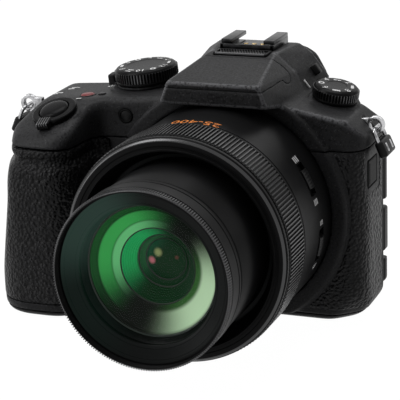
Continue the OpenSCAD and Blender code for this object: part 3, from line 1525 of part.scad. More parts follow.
module flash_housing() color(paint_black) difference() {
  union() {
    difference() {
      intersection() {
        hump();
        lid_zone(0);
      }
      block(about(0, ear_room), [-pin_front - well_back - end_gap, far], [0, pin_at[1]]);
      across(pin_at, lid_ear + ear_space, about(0, ear_room));
    }
    block(about(0, reflector_half), [reflector_y, reflector_y + reflector_len],
      [well_floor + 2 * gap, lid_seam_z + reflector_seat]);
    across(pin_at, lid_ear + seat_gap, about(0, lid_core));
    block(about(0, lid_core), [-pin_front - hinge_reach, -pin_front], [lid_seam_z, pin_at[1] + hinge_rise]);
  }
  across(pin_at, lid_pin_r + run_fit, about(0, lid_core + over));
}
module flash_window() color(glass_green) block(about(0, reflector_half - window_edge),
  [reflector_y - window_t, reflector_y], [well_floor + 2 * gap + slip, lid_seam_z - slip]);
module flash_pin() color(steel) across(pin_at, lid_pin_r, about(0, ear_out));
module flash_release() color(part_black) at_release()
  block(about(0, release_len / 2), about(0, release_w / 2), [-release_sink, release_h - release_sink]);

// Finder and monitor
eyecup_section = both_sides([[eyecup_w / 2 - eyecup_in, evf_z - eyecup_h / 2], [eyecup_w / 2, evf_z],
  [eyecup_w / 2 - eyecup_in, evf_z + eyecup_h / 2 - eyecup_shoulder],
  [eyecup_w / 2 - 2 * eyecup_in, evf_z + eyecup_h / 2 + eyecup_crown]]);
module eyecup() color(skin_black) difference() {
  upright(eyecup_section, [hump_rear, hump_rear + eyecup_d]);
  upright(rounded(about(0, window_half + eyecup_edge), about(evf_z, window_h / 2 + eyecup_edge), eyecup_r), [0, far]);
}
module diopter_dial() color(part_black) {
  across(diopter_at, diopter_r, [diopter_x + gap, diopter_x + gap + diopter_w]);
  across(diopter_at, diopter_shaft_r, [evf_half + 4 * diopter_step, diopter_x + gap]);
}
module lcd_frame() color(part_black) difference() {
  union() {
    block([lcd_left, lcd_pivot[0]], [lcd_y0, lcd_y1], lcd_z);
    stand(lcd_pivot, lcd_t / 2, lcd_z);
  }
  block([lcd_pivot[0] - lcd_t / 2 - hinge_side - gap, far], [0, far],
    [hinge_z[0] - hinge_ear_t - 2 * gap, hinge_z[1] + hinge_ear_t + 2 * gap]);
  block(screen_x, [lcd_y1 - screen_sink, far], [lcd_z[0] + screen_end, lcd_z[1] - screen_end]);
  across(hinge_mid, hinge_pin_r + run_fit, [screen_x[1], lcd_pivot[0]]);
}
module lcd_screen() color(glass_green) block([screen_x[0] + slip, screen_x[1] - slip],
  [lcd_y1 - screen_sink, lcd_y1 - run_fit], [lcd_z[0] + screen_end + slip, lcd_z[1] - screen_end - slip]);
module lcd_hinge() color(part_black) {
  stand(lcd_pivot, lcd_t / 2, hinge_z);
  stand(lcd_pivot, hinge_pin_r, [hinge_z[0] - hinge_ear_t, hinge_z[1] + hinge_ear_t]);
  block([lcd_pivot[0] - lcd_t / 2 - hinge_side, lcd_pivot[0]], [lcd_y0, lcd_y1], hinge_z);
  across(hinge_mid, hinge_pin_r, [screen_x[1] + slip, lcd_pivot[0] - lcd_t / 2]);
}

// Base and sides
module battery_door() color(part_black) difference() {
  union() {
    intersection() {
      slab(outline(door_inset), door_z);
      block([-far, -door_hinge_x], door_y, [0, far]);
    }
    along([-door_hinge_x, door_mid], door_t / 2, door_y);
    along([-door_hinge_x, door_mid], axle_r, [door_y[0] - axle_out, door_y[1] + axle_out]);
  }
  block(about(-latch_x, latch_w / 2 + gap), [-latch_front - gap, -latch_front + latch_len + latch_travel + gap],
    [0, latch_z[1] + slip]);
}
module battery_latch() color(steel)
  block(about(-latch_x, latch_w / 2), [-latch_front, -latch_front + latch_len], latch_z);
module side_cover() color(skin_black) {
  block([body_right - flap_t, body_right], flap_y, flap_z);
  stand([body_right - flap_t / 2, flap_y[1]], flap_t / 2, flap_z);
}
module tripod_bush() color(brass) difference() {
  post(bush_r, [0, bush_h]);
  post(tripod_r, [-over, tripod_depth]);
}
module base_screws() color(steel) for (p = screw_at) {
  stand(p, screw_head_r, [slip, head_sink - seat_gap]);
  stand(p, screw_r, [head_sink - seat_gap, base_t + screw_bite - end_gap]);
}
module eyelet(x, root) difference() {
  union() {
    along([x, eyelet_z], eyelet_r + eyelet_wall, about(0, eyelet_t / 2));
    block(root, about(0, eyelet_t / 2), about(eyelet_z, lug_half));
  }
  along([x, eyelet_z], eyelet_r, [-far, far]);
}
module strap_lugs() color(steel) {
  eyelet(eyelet_left_x, [eyelet_left_x, -side_top + lug_in]);
  eyelet(eyelet_right_x, [body_right - lug_in, eyelet_right_x]);
}
module strap_ring(x, side) translate([x, 0, eyelet_z]) rotate([0, -side * ring_lean, 0])
  translate([0, 0, wire_r + slip - eyelet_r]) {
    along([0, 0], wire_r, about(0, ring_half));
    for (y = [-ring_half, ring_half]) translate([0, y, 0]) {
      sphere(r = wire_r);
      post(wire_r, [-ring_leg, 0]);
    }
    block(about(0, guard_t / 2), about(0, guard_w / 2), [-ring_leg - guard_end, guard_h - ring_leg - guard_end]);
  }
module strap_ring_left() color(steel) strap_ring(eyelet_left_x, -1);
module strap_ring_right() color(steel) strap_ring(eyelet_right_x, 1);

// Shows one node, or all of them
module show(name) children();
show("front_cover") front_cover();
show("rear_cover") rear_cover();
show("top_cover") top_cover();
show("base_plate") base_plate();
show("grip_rubber") grip_rubber();
show("front_leatherette") front_leatherette();
show("thumb_rest") thumb_rest();
show("chassis") chassis();
show("sensor_unit") sensor_unit();
show("main_board") main_board();
show("battery") battery();
show("evf_module") evf_module();
show("lens_barrel") lens_barrel();
show("barrel_nose") barrel_nose();
show("iris_unit") iris_unit();
show("rear_lens_cell") rear_lens_cell();
show("zoom_motor") zoom_motor();
show("zoom_barrel") zoom_barrel();
show("filter_ring") filter_ring();
show("name_ring") name_ring();
show("front_lens") front_lens();
show("variator_cell") variator_cell();
show("variator_lens") variator_lens();
show("focus_group") focus_group();
show("cam_ring") cam_ring();
show("control_ring") control_ring();
show("focus_switch") focus_switch();
show("stabiliser_switch") stabiliser_switch();
show("shutter_button") shutter_button();
show("zoom_lever") zoom_lever();
show("mode_dial") mode_dial();
show("power_lever") power_lever();
show("drive_dial") drive_dial();
show("record_button") record_button();
show("function_button") function_button();
show("hot_shoe") hot_shoe();
show("mic_grille") mic_grille();
show("af_lamp") af_lamp();
show("flash_housing") flash_housing();
show("flash_window") flash_window();
show("flash_pin") flash_pin();
show("flash_release") flash_release();
show("eyecup") eyecup();
show("diopter_dial") diopter_dial();
show("lcd_frame") lcd_frame();
show("lcd_screen") lcd_screen();
show("lcd_hinge") lcd_hinge();
show("rear_dial") rear_dial();
show("playback_button") playback_button();
show("lock_button") lock_button();
show("cursor_pad") cursor_pad();
show("set_button") set_button();
show("battery_door") battery_door();
show("battery_latch") battery_latch();
show("side_cover") side_cover();
show("tripod_bush") tripod_bush();
show("strap_lugs") strap_lugs();
show("strap_ring_left") strap_ring_left();
show("strap_ring_right") strap_ring_right();
show("base_screws") base_screws();
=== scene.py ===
"""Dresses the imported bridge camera: moulded shells, turned lens rings, dials, finishes and a pale studio."""
import json
import logging
import math
from collections.abc import Callable, Sequence
from dataclasses import dataclass, field
from enum import Enum
from functools import reduce

import bmesh
import bpy
import numpy as np
from mathutils import Matrix, Vector

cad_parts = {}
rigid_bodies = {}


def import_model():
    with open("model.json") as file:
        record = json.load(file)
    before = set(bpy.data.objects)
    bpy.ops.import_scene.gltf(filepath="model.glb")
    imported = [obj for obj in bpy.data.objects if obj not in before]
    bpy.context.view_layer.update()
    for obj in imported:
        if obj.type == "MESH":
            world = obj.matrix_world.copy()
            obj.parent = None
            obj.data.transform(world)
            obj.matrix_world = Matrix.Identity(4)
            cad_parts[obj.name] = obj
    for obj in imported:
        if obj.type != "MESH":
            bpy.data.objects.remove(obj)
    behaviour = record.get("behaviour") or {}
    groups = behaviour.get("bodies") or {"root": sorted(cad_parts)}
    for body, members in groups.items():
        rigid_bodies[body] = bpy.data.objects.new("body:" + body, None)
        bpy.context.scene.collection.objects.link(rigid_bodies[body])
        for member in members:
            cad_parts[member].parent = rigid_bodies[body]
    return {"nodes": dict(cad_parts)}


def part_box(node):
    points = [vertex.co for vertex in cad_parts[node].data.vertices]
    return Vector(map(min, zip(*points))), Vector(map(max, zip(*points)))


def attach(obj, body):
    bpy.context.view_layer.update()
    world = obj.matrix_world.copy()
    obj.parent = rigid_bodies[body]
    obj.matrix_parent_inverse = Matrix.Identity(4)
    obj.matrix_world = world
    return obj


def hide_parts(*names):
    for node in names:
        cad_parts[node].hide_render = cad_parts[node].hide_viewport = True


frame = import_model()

LOG = logging.getLogger("bridge_camera")
MM = 0.001
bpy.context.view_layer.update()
COARSE = 1.0
FAR = 99.0
SKY = 200.0

Point = tuple[float, float, float]
Pair = tuple[float, float]
Colour = tuple[float, float, float]
Face = tuple[int, ...]


def span(node: str) -> tuple[np.ndarray, np.ndarray]:
    """Finds where a CAD node lies.

    Args:
        node: Name of the CAD node.

    Returns:
        Its lowest and highest corner in millimetres.
    """
    low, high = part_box(node)
    return np.array(low) / MM, np.array(high) / MM


class Sock:
    """A shader socket that takes part in Python expressions."""

    def __init__(self, graph: "Graph", socket: bpy.types.NodeSocket) -> None:
        """Wraps one output socket of graph."""
        self.graph = graph
        self.socket = socket

    def math(self, operation: str, *others: "Sock | float", flip: bool = False) -> "Sock":
        """Adds one Math node.

        Args:
            operation: The node's operation.
            others: Its further operands.
            flip: True puts this socket second.

        Returns:
            The node's result.
        """
        operands = [*others, self] if flip else [self, *others]
        return self.graph.value("ShaderNodeMath", {"operation": operation}, dict(enumerate(operands)))

    def __add__(self, other: "Sock | float") -> "Sock":
        """Sum."""
        return self.math("ADD", other)

    def __radd__(self, other: float) -> "Sock":
        """Sum with a number on the left."""
        return self.math("ADD", other, flip=True)

    def __sub__(self, other: "Sock | float") -> "Sock":
        """Difference."""
        return self.math("SUBTRACT", other)

    def __rsub__(self, other: float) -> "Sock":
        """Difference with a number on the left."""
        return self.math("SUBTRACT", other, flip=True)

    def __mul__(self, other: "Sock | float") -> "Sock":
        """Product."""
        return self.math("MULTIPLY", other)

    def __rmul__(self, other: float) -> "Sock":
        """Product with a number on the left."""
        return self.math("MULTIPLY", other, flip=True)

    def __truediv__(self, other: "Sock | float") -> "Sock":
        """Quotient."""
        return self.math("DIVIDE", other)

    def __pow__(self, other: float) -> "Sock":
        """Power."""
        return self.math("POWER", other)

    def rise(self, low: float, high: float) -> "Sock":
        """Smooth step from 0 at low to 1 at high."""
        ends = {"From Min": low, "From Max": high, "Value": self}
        return self.graph.value("ShaderNodeMapRange", {"interpolation_type": "SMOOTHSTEP"}, ends)

    def band(self, low: float, high: float, soft: float) -> "Sock":
        """1 between low and high, fading to 0 over soft on either side."""
        return self.rise(low - soft, low + soft) * (1 - self.rise(high - soft, high + soft))


class Graph:
    """Node tree of one material, with one Principled shader."""

    def __init__(self, name: str) -> None:
        """Makes the empty material called name."""
        self.material = bpy.data.materials.new(name)
        self.material.use_nodes = True
        self.tree = self.material.node_tree
        self.tree.nodes.clear()
        self.shader = self.node("ShaderNodeBsdfPrincipled")
        self.node("ShaderNodeOutputMaterial", sockets={"Surface": Sock(self, self.shader.outputs[0])})
        self.here = self.value("ShaderNodeTexCoord", output="Object")

    def node(self, kind: str, settings: dict | None = None, sockets: dict | None = None) -> bpy.types.Node:
        """Adds any node.

        Args:
            kind: The node's type.
            settings: Its properties, set first.
            sockets: Values or links of its inputs, by name or number.

        Returns:
            The new node.
        """
        node = self.tree.nodes.new(kind)
        for key, value in (settings or {}).items():
            setattr(node, key, value)
        for key, value in (sockets or {}).items():
            if isinstance(value, Sock):
                self.tree.links.new(value.socket, node.inputs[key])
            else:
                node.inputs[key].default_value = value
        return node

    def value(self, kind: str, settings: dict | None = None, sockets: dict | None = None,
              output: int | str = 0) -> Sock:
        """Adds any node and gives one of its outputs.

        Args:
            kind: The node's type.
            settings: Its properties.
            sockets: Values or links of its inputs.
            output: Which output.

        Returns:
            That output as an expression.
        """
        return Sock(self, self.node(kind, settings, sockets).outputs[output])

    def axis(self, name: str) -> Sock:
        """One Object coordinate, X, Y or Z, in metres."""
        return self.value("ShaderNodeSeparateXYZ", sockets={0: self.here}, output=name)

    def noise(self, size_mm: float, detail: float = 2.0) -> Sock:
        """Noise with features of about size_mm, from 0 to 1."""
        sockets = {"Vector": self.here, "Scale": 1 / (size_mm * MM), "Detail": detail}
        return self.value("ShaderNodeTexNoise", sockets=sockets)

    def streaks(self, place: Sock) -> Sock:
        """Noise at a place that is already counted in features."""
        return self.value("ShaderNodeTexNoise", sockets={"Vector": place, "Scale": 1.0, "Detail": 2.0})

    def cells(self, size_mm: float, place: Sock) -> Sock:
        """Distance from a place to the middle of the nearest cell of about size_mm."""
        sockets = {"Vector": place, "Scale": 1 / (size_mm * MM), "Smoothness": 0.35}
        return self.value("ShaderNodeTexVoronoi", {"feature": "SMOOTH_F1"}, sockets)

    def blend(self, share: Sock | float, first: "Sock | Colour", second: "Sock | Colour") -> Sock:
        """Colour between first at 0 and second at 1."""
        full = [c if isinstance(c, Sock) else (*c, 1.0) for c in (first, second)]
        sockets = {0: share, 6: full[0], 7: full[1]}
        return self.value("ShaderNodeMix", {"data_type": "RGBA"}, sockets, output=2)

    def vector(self, x: "Sock | float", y: "Sock | float", z: "Sock | float") -> Sock:
        """Vector of three values."""
        return self.value("ShaderNodeCombineXYZ", sockets={0: x, 1: y, 2: z})

    def relief(self, height: Sock, depth_mm: float) -> None:
        """Gives the surface a relief of depth_mm."""
        sockets = {"Height": height, "Distance": depth_mm * MM}
        self.link("Normal", self.value("ShaderNodeBump", sockets=sockets))

    def link(self, name: str, value: Sock) -> None:
        """Feeds one socket of the shader."""
        self.tree.links.new(value.socket, self.shader.inputs[name])

    def fix(self, **constants: float) -> None:
        """Sets constant sockets of the shader, named with _ for a space."""
        for name, value in constants.items():
            self.shader.inputs[name.replace("_", " ")].default_value = value


def around_lens(graph: Graph) -> tuple[Sock, Sock, Sock]:
    """Place across the lens axis.

    Args:
        graph: The material's nodes.

    Returns:
        Distance to the side, distance upwards and radius, in millimetres.
    """
    side = graph.axis("X") / MM
    rise = graph.axis("Z") / MM - lens_axis()
    return side, rise, (side * side + rise * rise) ** 0.5


def scaled(colour: Colour, factor: float) -> Colour:
    """The colour times a factor."""
    return tuple(c * factor for c in colour)


@dataclass(frozen=True)
class Finish:
    """Moulded surface with a fine grain, slight mottling and uneven gloss."""

    name: str
    colour: Colour
    roughness: float
    grain_mm: float = 0.35
    depth_mm: float = 0.012
    uneven: float = 0.12
    metallic: float = 0.0
    specular: float = 0.5

    def material(self) -> bpy.types.Material:
        """Makes the finish's material, once.

        Returns:
            The material.
        """
        label = f"{self.name}_finish"
        made = bpy.data.materials.get(label)
        if made:
            return made
        graph = Graph(label)
        graph.fix(Metallic=self.metallic, Specular_IOR_Level=self.specular)
        self.dress(graph)
        return graph.material

    def tone(self, graph: Graph, share: Sock, dark: float, light: float) -> Sock:
        """Colour between a dark shade at 0 and a light one at 1."""
        return graph.blend(share, scaled(self.colour, dark), scaled(self.colour, light))

    def coat(self, graph: Graph, fine: Sock, tone: Sock, cloud: Sock, drift: float = 0.08) -> None:
        """Sets colour, gloss and relief.

        Args:
            graph: The material's nodes.
            fine: Fine pattern, from 0 to 1, that gives the relief.
            tone: The colour.
            cloud: Broad pattern of duller and glossier places.
            drift: How far the gloss follows it.
        """
        graph.link("Base Color", tone)
        graph.link("Roughness", self.roughness + (fine - 0.5) * self.uneven + (cloud - 0.5) * drift)
        graph.relief(fine, self.depth_mm)

    def dress(self, graph: Graph) -> None:
        """Adds colour, gloss and grain to the nodes in graph."""
        cloud = graph.noise(18.0)
        tone = self.tone(graph, cloud.rise(0.3, 0.7), 0.86, 1.14)
        self.coat(graph, graph.noise(self.grain_mm, 3.0), tone, cloud)


@dataclass(frozen=True)
class Speckled(Finish):
    """Sprayed paint with fine bright specks and a painted highlight on its rounded edges."""

    speck: float = 2.4
    # How many times brighter the rounded edges are painted: a painted highlight.
    edge_highlight: float = 7.0

    def dress(self, graph: Graph) -> None:
        """Adds specks, pits, painted edge highlights and spray texture to the nodes in graph."""
        spray = graph.noise(self.grain_mm, 3.0)
        cloud = graph.noise(14.0)
        tone = self.tone(graph, cloud.rise(0.3, 0.7), 0.88, 1.12)
        # Curvature brightens the colour on rounded edges: a painted highlight.
        bend = graph.value("ShaderNodeAttribute", {"attribute_name": "edge"}, output="Fac")
        highlight_share = bend.rise(0.16, 0.6) * (0.6 + spray * 0.8)
        tone = graph.blend(highlight_share, tone, scaled(self.colour, self.edge_highlight))
        pit = graph.noise(self.grain_mm * 1.3).rise(0.5, 0.66)
        tone = graph.blend(pit * 0.75, tone, scaled(self.colour, 0.2))
        fleck = graph.noise(self.grain_mm * 0.8, 1.0).rise(0.62, 0.76)
        tone = graph.blend(fleck, tone, scaled(self.colour, self.speck))
        self.coat(graph, spray, tone, cloud, 0.06)


@dataclass(frozen=True)
class Pebbled(Finish):
    """Leatherette: irregular pebbles with shiny tops, painted lighter on top and darker in the hollows."""

    pebble_mm: float = 1.25

    def dress(self, graph: Graph) -> None:
        """Adds pebbles that wander a little, with fine grain on them, to the nodes in graph."""
        drift = graph.value("ShaderNodeTexNoise", sockets={"Vector": graph.here, "Scale": 420.0}, output=1)
        shift = graph.value("ShaderNodeVectorMath", {"operation": "SCALE"}, {0: drift, "Scale": 0.0009})
        place = graph.value("ShaderNodeVectorMath", {"operation": "ADD"}, {0: graph.here, 1: shift})
        pebble = 1 - graph.cells(self.pebble_mm, place)
        grain = graph.noise(self.grain_mm, 3.0)
        cloud = graph.noise(20.0)
        # Pebble tops painted lighter and hollows darker: painted highlight and painted shade.
        graph.link("Base Color", self.tone(graph, pebble.rise(0.35, 0.85), 0.5, 1.5))
        graph.link("Roughness", self.roughness - (pebble - 0.6) * 0.22 + (cloud - 0.5) * 0.1)
        graph.relief(pebble + grain * 0.12, self.depth_mm)


@dataclass(frozen=True)
class Turned(Finish):
    """Anodised lens metal with fine lathe lines round the lens axis."""

    pitch_mm: float = 0.25

    def dress(self, graph: Graph) -> None:
        """Adds lathe lines along the axis and across the face to the nodes in graph."""
        along = graph.axis("Y") * (1 / (self.pitch_mm * MM))
        line = graph.streaks(graph.vector(along, around_lens(graph)[2] / self.pitch_mm, 0.0))
        tone = self.tone(graph, line.rise(0.35, 0.7), 0.85, 1.15)
        self.coat(graph, line, tone, graph.noise(12.0))


@dataclass(frozen=True)
class PaintedGleam(Turned):
    """Turned metal with a painted teal reflection of the lens coating on the grip side, shown as glow."""

    painted_left_gleam: Colour = (0.002, 0.0055, 0.004)
    gleam: Colour = (0.016, 0.033, 0.026)

    def dress(self, graph: Graph) -> None:
        """Adds lathe lines, then the painted gleam by direction as glow, to the nodes in graph."""
        super().dress(graph)
        side, rise, radius = around_lens(graph)
        # Painted reflection: a teal glow on the grip side, brightest at the upper left.
        left = graph.blend((side * -0.98 / radius).rise(0.1, 0.9), (0.0, 0.0, 0.0), self.painted_left_gleam)
        upper = ((side * -0.75 + rise * 0.66) / radius).rise(0.5, 1.0) ** 1.5
        graph.link("Emission Color", graph.blend(upper, left, self.gleam))
        graph.fix(Emission_Strength=1.0)


@dataclass(frozen=True)
class Ground(Finish):
    """Bare metal with fine parallel grinding marks and painted reflections as light and dark clouds."""

    def dress(self, graph: Graph) -> None:
        """Adds grinding marks and a few dull clouds, which also paint the colour lighter and darker as
        reflections, to the nodes in graph.
        """
        scale = 1 / (self.grain_mm * MM)
        long = graph.axis("X") * (scale * 0.05)
        mark = graph.streaks(graph.vector(long, graph.axis("Y") * scale, graph.axis("Z") * scale))
        cloud = graph.noise(2.5)
        # The clouds paint the colour from 0.55 to 1.2 times: painted reflections.
        self.coat(graph, mark, self.tone(graph, cloud.rise(0.35, 0.65), 0.55, 1.2), cloud, 0.1)


@dataclass(frozen=True)
class Clear(Finish):
    """Clear or smoked glass with faint smears."""

    transmission: float = 0.0
    alpha: float = 1.0

    def dress(self, graph: Graph) -> None:
        """Adds faint smears to the gloss of the nodes in graph."""
        graph.fix(Transmission_Weight=self.transmission, IOR=1.5, Alpha=self.alpha)
        smear = graph.noise(6.0)
        graph.link("Base Color", self.tone(graph, smear, 0.97, 1.0))
        graph.link("Roughness", self.roughness + smear.rise(0.45, 0.8) * self.uneven)


@dataclass(frozen=True)
class PaintedReflections(Finish):
    """Coated dish with painted reflections: green bands on the grip side and a pale one low on the other side,
    shown as colour and glow.
    """

    # Colours of the painted reflections of lamps in the coating; the dish glows with them.
    pale: Colour = (0.33, 0.47, 0.30)
    bright: Colour = (0.035, 0.29, 0.065)
    mint: Colour = (0.11, 0.42, 0.16)
    moss: Colour = (0.022, 0.075, 0.018)
    glow: float = 0.85
    rim_r: float = 23.4
    hub_r: float = 13.8

    def show_painted_reflection(self, graph: Graph, tone: Sock) -> None:
        """Shows the painted reflections as the colour and as a glow.

        Args:
            graph: The material's nodes.
            tone: The colour of the painted reflections.
        """
        graph.link("Base Color", tone)
        graph.link("Emission Color", tone)
        graph.fix(Emission_Strength=self.glow)
        graph.link("Roughness", self.roughness + graph.noise(0.8) * self.uneven)

    def dress(self, graph: Graph) -> None:
        """Adds the painted reflection bands by radius and direction to the nodes in graph."""
        side, rise, radius = around_lens(graph)
        # Masks by direction and radius for the painted reflection crescents.
        left = ((side * -0.86 + rise * 0.51) / radius).rise(-0.1, 0.95) ** 2.0
        low = ((side * 0.86 - rise * 0.51) / radius).rise(0.1, 1.0) ** 2.5
        reach = (radius - self.hub_r) / (self.rim_r - self.hub_r)
        tone = graph.blend(left * reach.band(-0.1, 0.3, 0.05), self.colour, self.mint)
        tone = graph.blend(left * reach.band(0.32, 0.74, 0.05), tone, self.bright)
        tone = graph.blend(left * reach.band(0.78, 1.1, 0.04), tone, scaled(self.bright, 0.2))
        tone = graph.blend(low * reach.band(-0.1, 0.25, 0.1), tone, self.moss)
        self.show_painted_reflection(graph, graph.blend(low * reach.band(0.25, 0.95, 0.09), tone, self.pale))


@dataclass(frozen=True)
class PaintedLampImage:
    """Painted image of a lamp reflected in the deep elements, placed across the lens axis."""

    x: float
    z: float
    size: float
    colour: Colour


@dataclass(frozen=True)
class PaintedDeepReflections(PaintedReflections):
    """Deep elements: dim green, with painted reflections brighter on the grip side and painted images of
    lamps, shown as colour and glow.
    """

    # Colours of the painted reflections, brighter on the grip side, and painted images of lamps.
    well: Colour = (0.012, 0.26, 0.075)
    neck: Colour = (0.013, 0.065, 0.024)
    eye: Colour = (0.006, 0.045, 0.02)
    spots: tuple[PaintedLampImage, ...] = (PaintedLampImage(-5.4, -0.8, 1.8, (0.36, 0.11, 0.13)),
                               PaintedLampImage(-2.9, 2.3, 2.1, (0.19, 0.22, 0.09)),
                               PaintedLampImage(4.0, 1.0, 1.0, (0.07, 0.03, 0.02)))

    def dress(self, graph: Graph) -> None:
        """Adds the painted reflections by radius and direction, then the painted lamp images, to the nodes in
        graph.
        """
        side, rise, radius = around_lens(graph)
        left = ((side * -0.9 + rise * 0.44) / radius).rise(-0.1, 1.0) ** 2.2
        tone = graph.blend(left * radius.rise(3.0, 7.0), self.colour, self.eye)
        tone = graph.blend(left * radius.rise(7.5, 7.9), tone, self.neck)
        tone = graph.blend(left * radius.rise(9.6, 10.2), tone, self.well)
        for spot in self.spots:
            across, over = side - spot.x, rise - spot.z
            away = (across * across + over * over) ** 0.5
            tone = graph.blend(1 - away.rise(spot.size * 0.25, spot.size), tone, spot.colour)
        self.show_painted_reflection(graph, tone)


@dataclass(frozen=True)
class Circuit(Finish):
    """Solder mask with a grid of pads."""

    pad: Colour = (0.6, 0.48, 0.24)

    def dress(self, graph: Graph) -> None:
        """Adds pads in rows and a slight weave to the nodes in graph."""
        place = graph.vector(graph.axis("X"), graph.axis("Z"), 0.0)
        sockets = {"Vector": place, "Scale": 300.0, "Mortar Size": 0.03, "Color1": (*self.colour, 1.0),
                   "Color2": (*scaled(self.colour, 0.7), 1.0), "Mortar": (*self.pad, 1.0)}
        graph.link("Base Color", graph.value("ShaderNodeTexBrick", sockets=sockets))
        grain = graph.noise(self.grain_mm)
        graph.link("Roughness", self.roughness + (grain - 0.5) * self.uneven)
        graph.relief(grain, self.depth_mm)


class Look(Enum):
    """Finishes of the camera."""

    # The paint's rounded edges are painted six times brighter: a painted highlight.
    PAINT = Speckled("paint", (0.018, 0.018, 0.0189), 0.46, 0.75, 0.06, 0.3, specular=0.1, speck=3.0,
                     edge_highlight=6.0)
    LEATHER = Pebbled("leatherette", (0.014, 0.014, 0.0147), 0.36, 0.4, 0.75, specular=0.1)
    RUBBER = Finish("soft_rubber", (0.010, 0.010, 0.010), 0.6, 0.5, 0.05, specular=0.1)
    PLASTIC = Finish("black_plastic", (0.008, 0.008, 0.0083), 0.4, 0.5, 0.02, specular=0.12)
    SATIN = Finish("satin_black", (0.006, 0.006, 0.0063), 0.26, 0.5, 0.006, specular=0.05)
    KNURL = Finish("knurl", (0.075, 0.075, 0.077), 0.3, 0.4, 0.004, metallic=1.0)
    BARREL = Turned("black_metal", (0.007, 0.007, 0.0073), 0.34, depth_mm=0.006, specular=0.06)
    RIB = Turned("rib_metal", (0.045, 0.045, 0.046), 0.3, depth_mm=0.004, metallic=1.0)
    BEAD = Turned("bead", (0.03, 0.036, 0.032), 0.3, depth_mm=0.002, metallic=1.0)
    EDGE = Turned("polished_edge", (0.06, 0.06, 0.061), 0.25, depth_mm=0.002, metallic=1.0)
    BEZEL_GLEAM = PaintedGleam("bezel", (0.006, 0.007, 0.0068), 0.36, depth_mm=0.006, specular=0.06)
    GLASS = Clear("lens_glass", (0.002, 0.004, 0.003), 0.02, uneven=0.02, specular=0.4, alpha=0.06)
    COATING_REFLECTIONS = PaintedReflections("lens_coating_reflections", (0.003, 0.004, 0.003), 0.3, uneven=0.06, specular=0.04)
    INNER_REFLECTIONS = PaintedDeepReflections("inner_coating_reflections", (0.0033, 0.0185, 0.006), 0.2, uneven=0.06, specular=0.06)
    DEEP = Clear("deep_glass", (0.004, 0.014, 0.009), 0.05, uneven=0.03, specular=0.15)
    CELL = Finish("cell_black", (0.005, 0.006, 0.006), 0.4, 0.3, 0.004, specular=0.08)
    WINDOW = Clear("window", (0.012, 0.012, 0.013), 0.08, uneven=0.04, specular=0.3)
    FLASH = Clear("flash_window", (0.75, 0.76, 0.76), 0.18, uneven=0.1, transmission=0.35)
    RED = Finish("red_button", (0.16, 0.012, 0.014), 0.34, 0.3, 0.004, specular=0.25)
    STEEL = Ground("steel", (0.5, 0.5, 0.51), 0.2, 0.25, 0.002, 0.12, 1.0)
    CHROME = Ground("chrome", (0.42, 0.42, 0.43), 0.12, 0.4, 0.001, 0.05, 1.0)
    DARK_STEEL = Ground("dark_steel", (0.03, 0.03, 0.031), 0.3, 0.3, 0.003, 0.12, 1.0)
    ALUMINIUM = Ground("aluminium", (0.6, 0.6, 0.62), 0.35, 0.3, 0.003, 0.15, 1.0)
    BRASS = Ground("brass", (0.62, 0.45, 0.2), 0.26, 0.25, 0.003, 0.12, 1.0)
    BOARD = Circuit("board", (0.02, 0.12, 0.06), 0.4)
    WHITE = Finish("white_print", (0.72, 0.72, 0.72), 0.5, 0.15, 0.003)
    ORANGE = Finish("orange_print", (0.75, 0.22, 0.03), 0.5, 0.15, 0.003)
    GROOVE = Finish("groove", (0.004, 0.004, 0.004), 0.7, 0.3, 0.004, specular=0.08)


@dataclass(frozen=True)
class Seat:
    """Local frame of a tilted or turned piece: its own Z is the piece's axis."""

    at: Point
    left: float = 0.0
    forward: float = 0.0

    def turn(self) -> np.ndarray:
        """Rotation from the seat to the row frame.

        Returns:
            A 3x3 rotation.
        """
        tip = np.array(Matrix.Rotation(math.radians(self.forward), 3, "X"))
        lean = np.array(Matrix.Rotation(math.radians(-self.left), 3, "Y"))
        return lean @ tip

    def matrix(self) -> Matrix:
        """The seat as a 4x4.

        Returns:
            The matrix, in metres.
        """
        full = Matrix([list(row) for row in self.turn()]).to_4x4()
        full.translation = Vector(self.at) * MM
        return full


def lens_axis() -> float:
    """Height of the lens axis over the base."""
    low, high = span("filter_ring")
    return float(low[2] + high[2]) / 2


def front_ring_radius() -> float:
    """Radius of the front ring."""
    low, high = span("filter_ring")
    return float(high[2] - low[2]) / 2


LENS = Seat((0.0, 0.0, lens_axis()), forward=90.0)


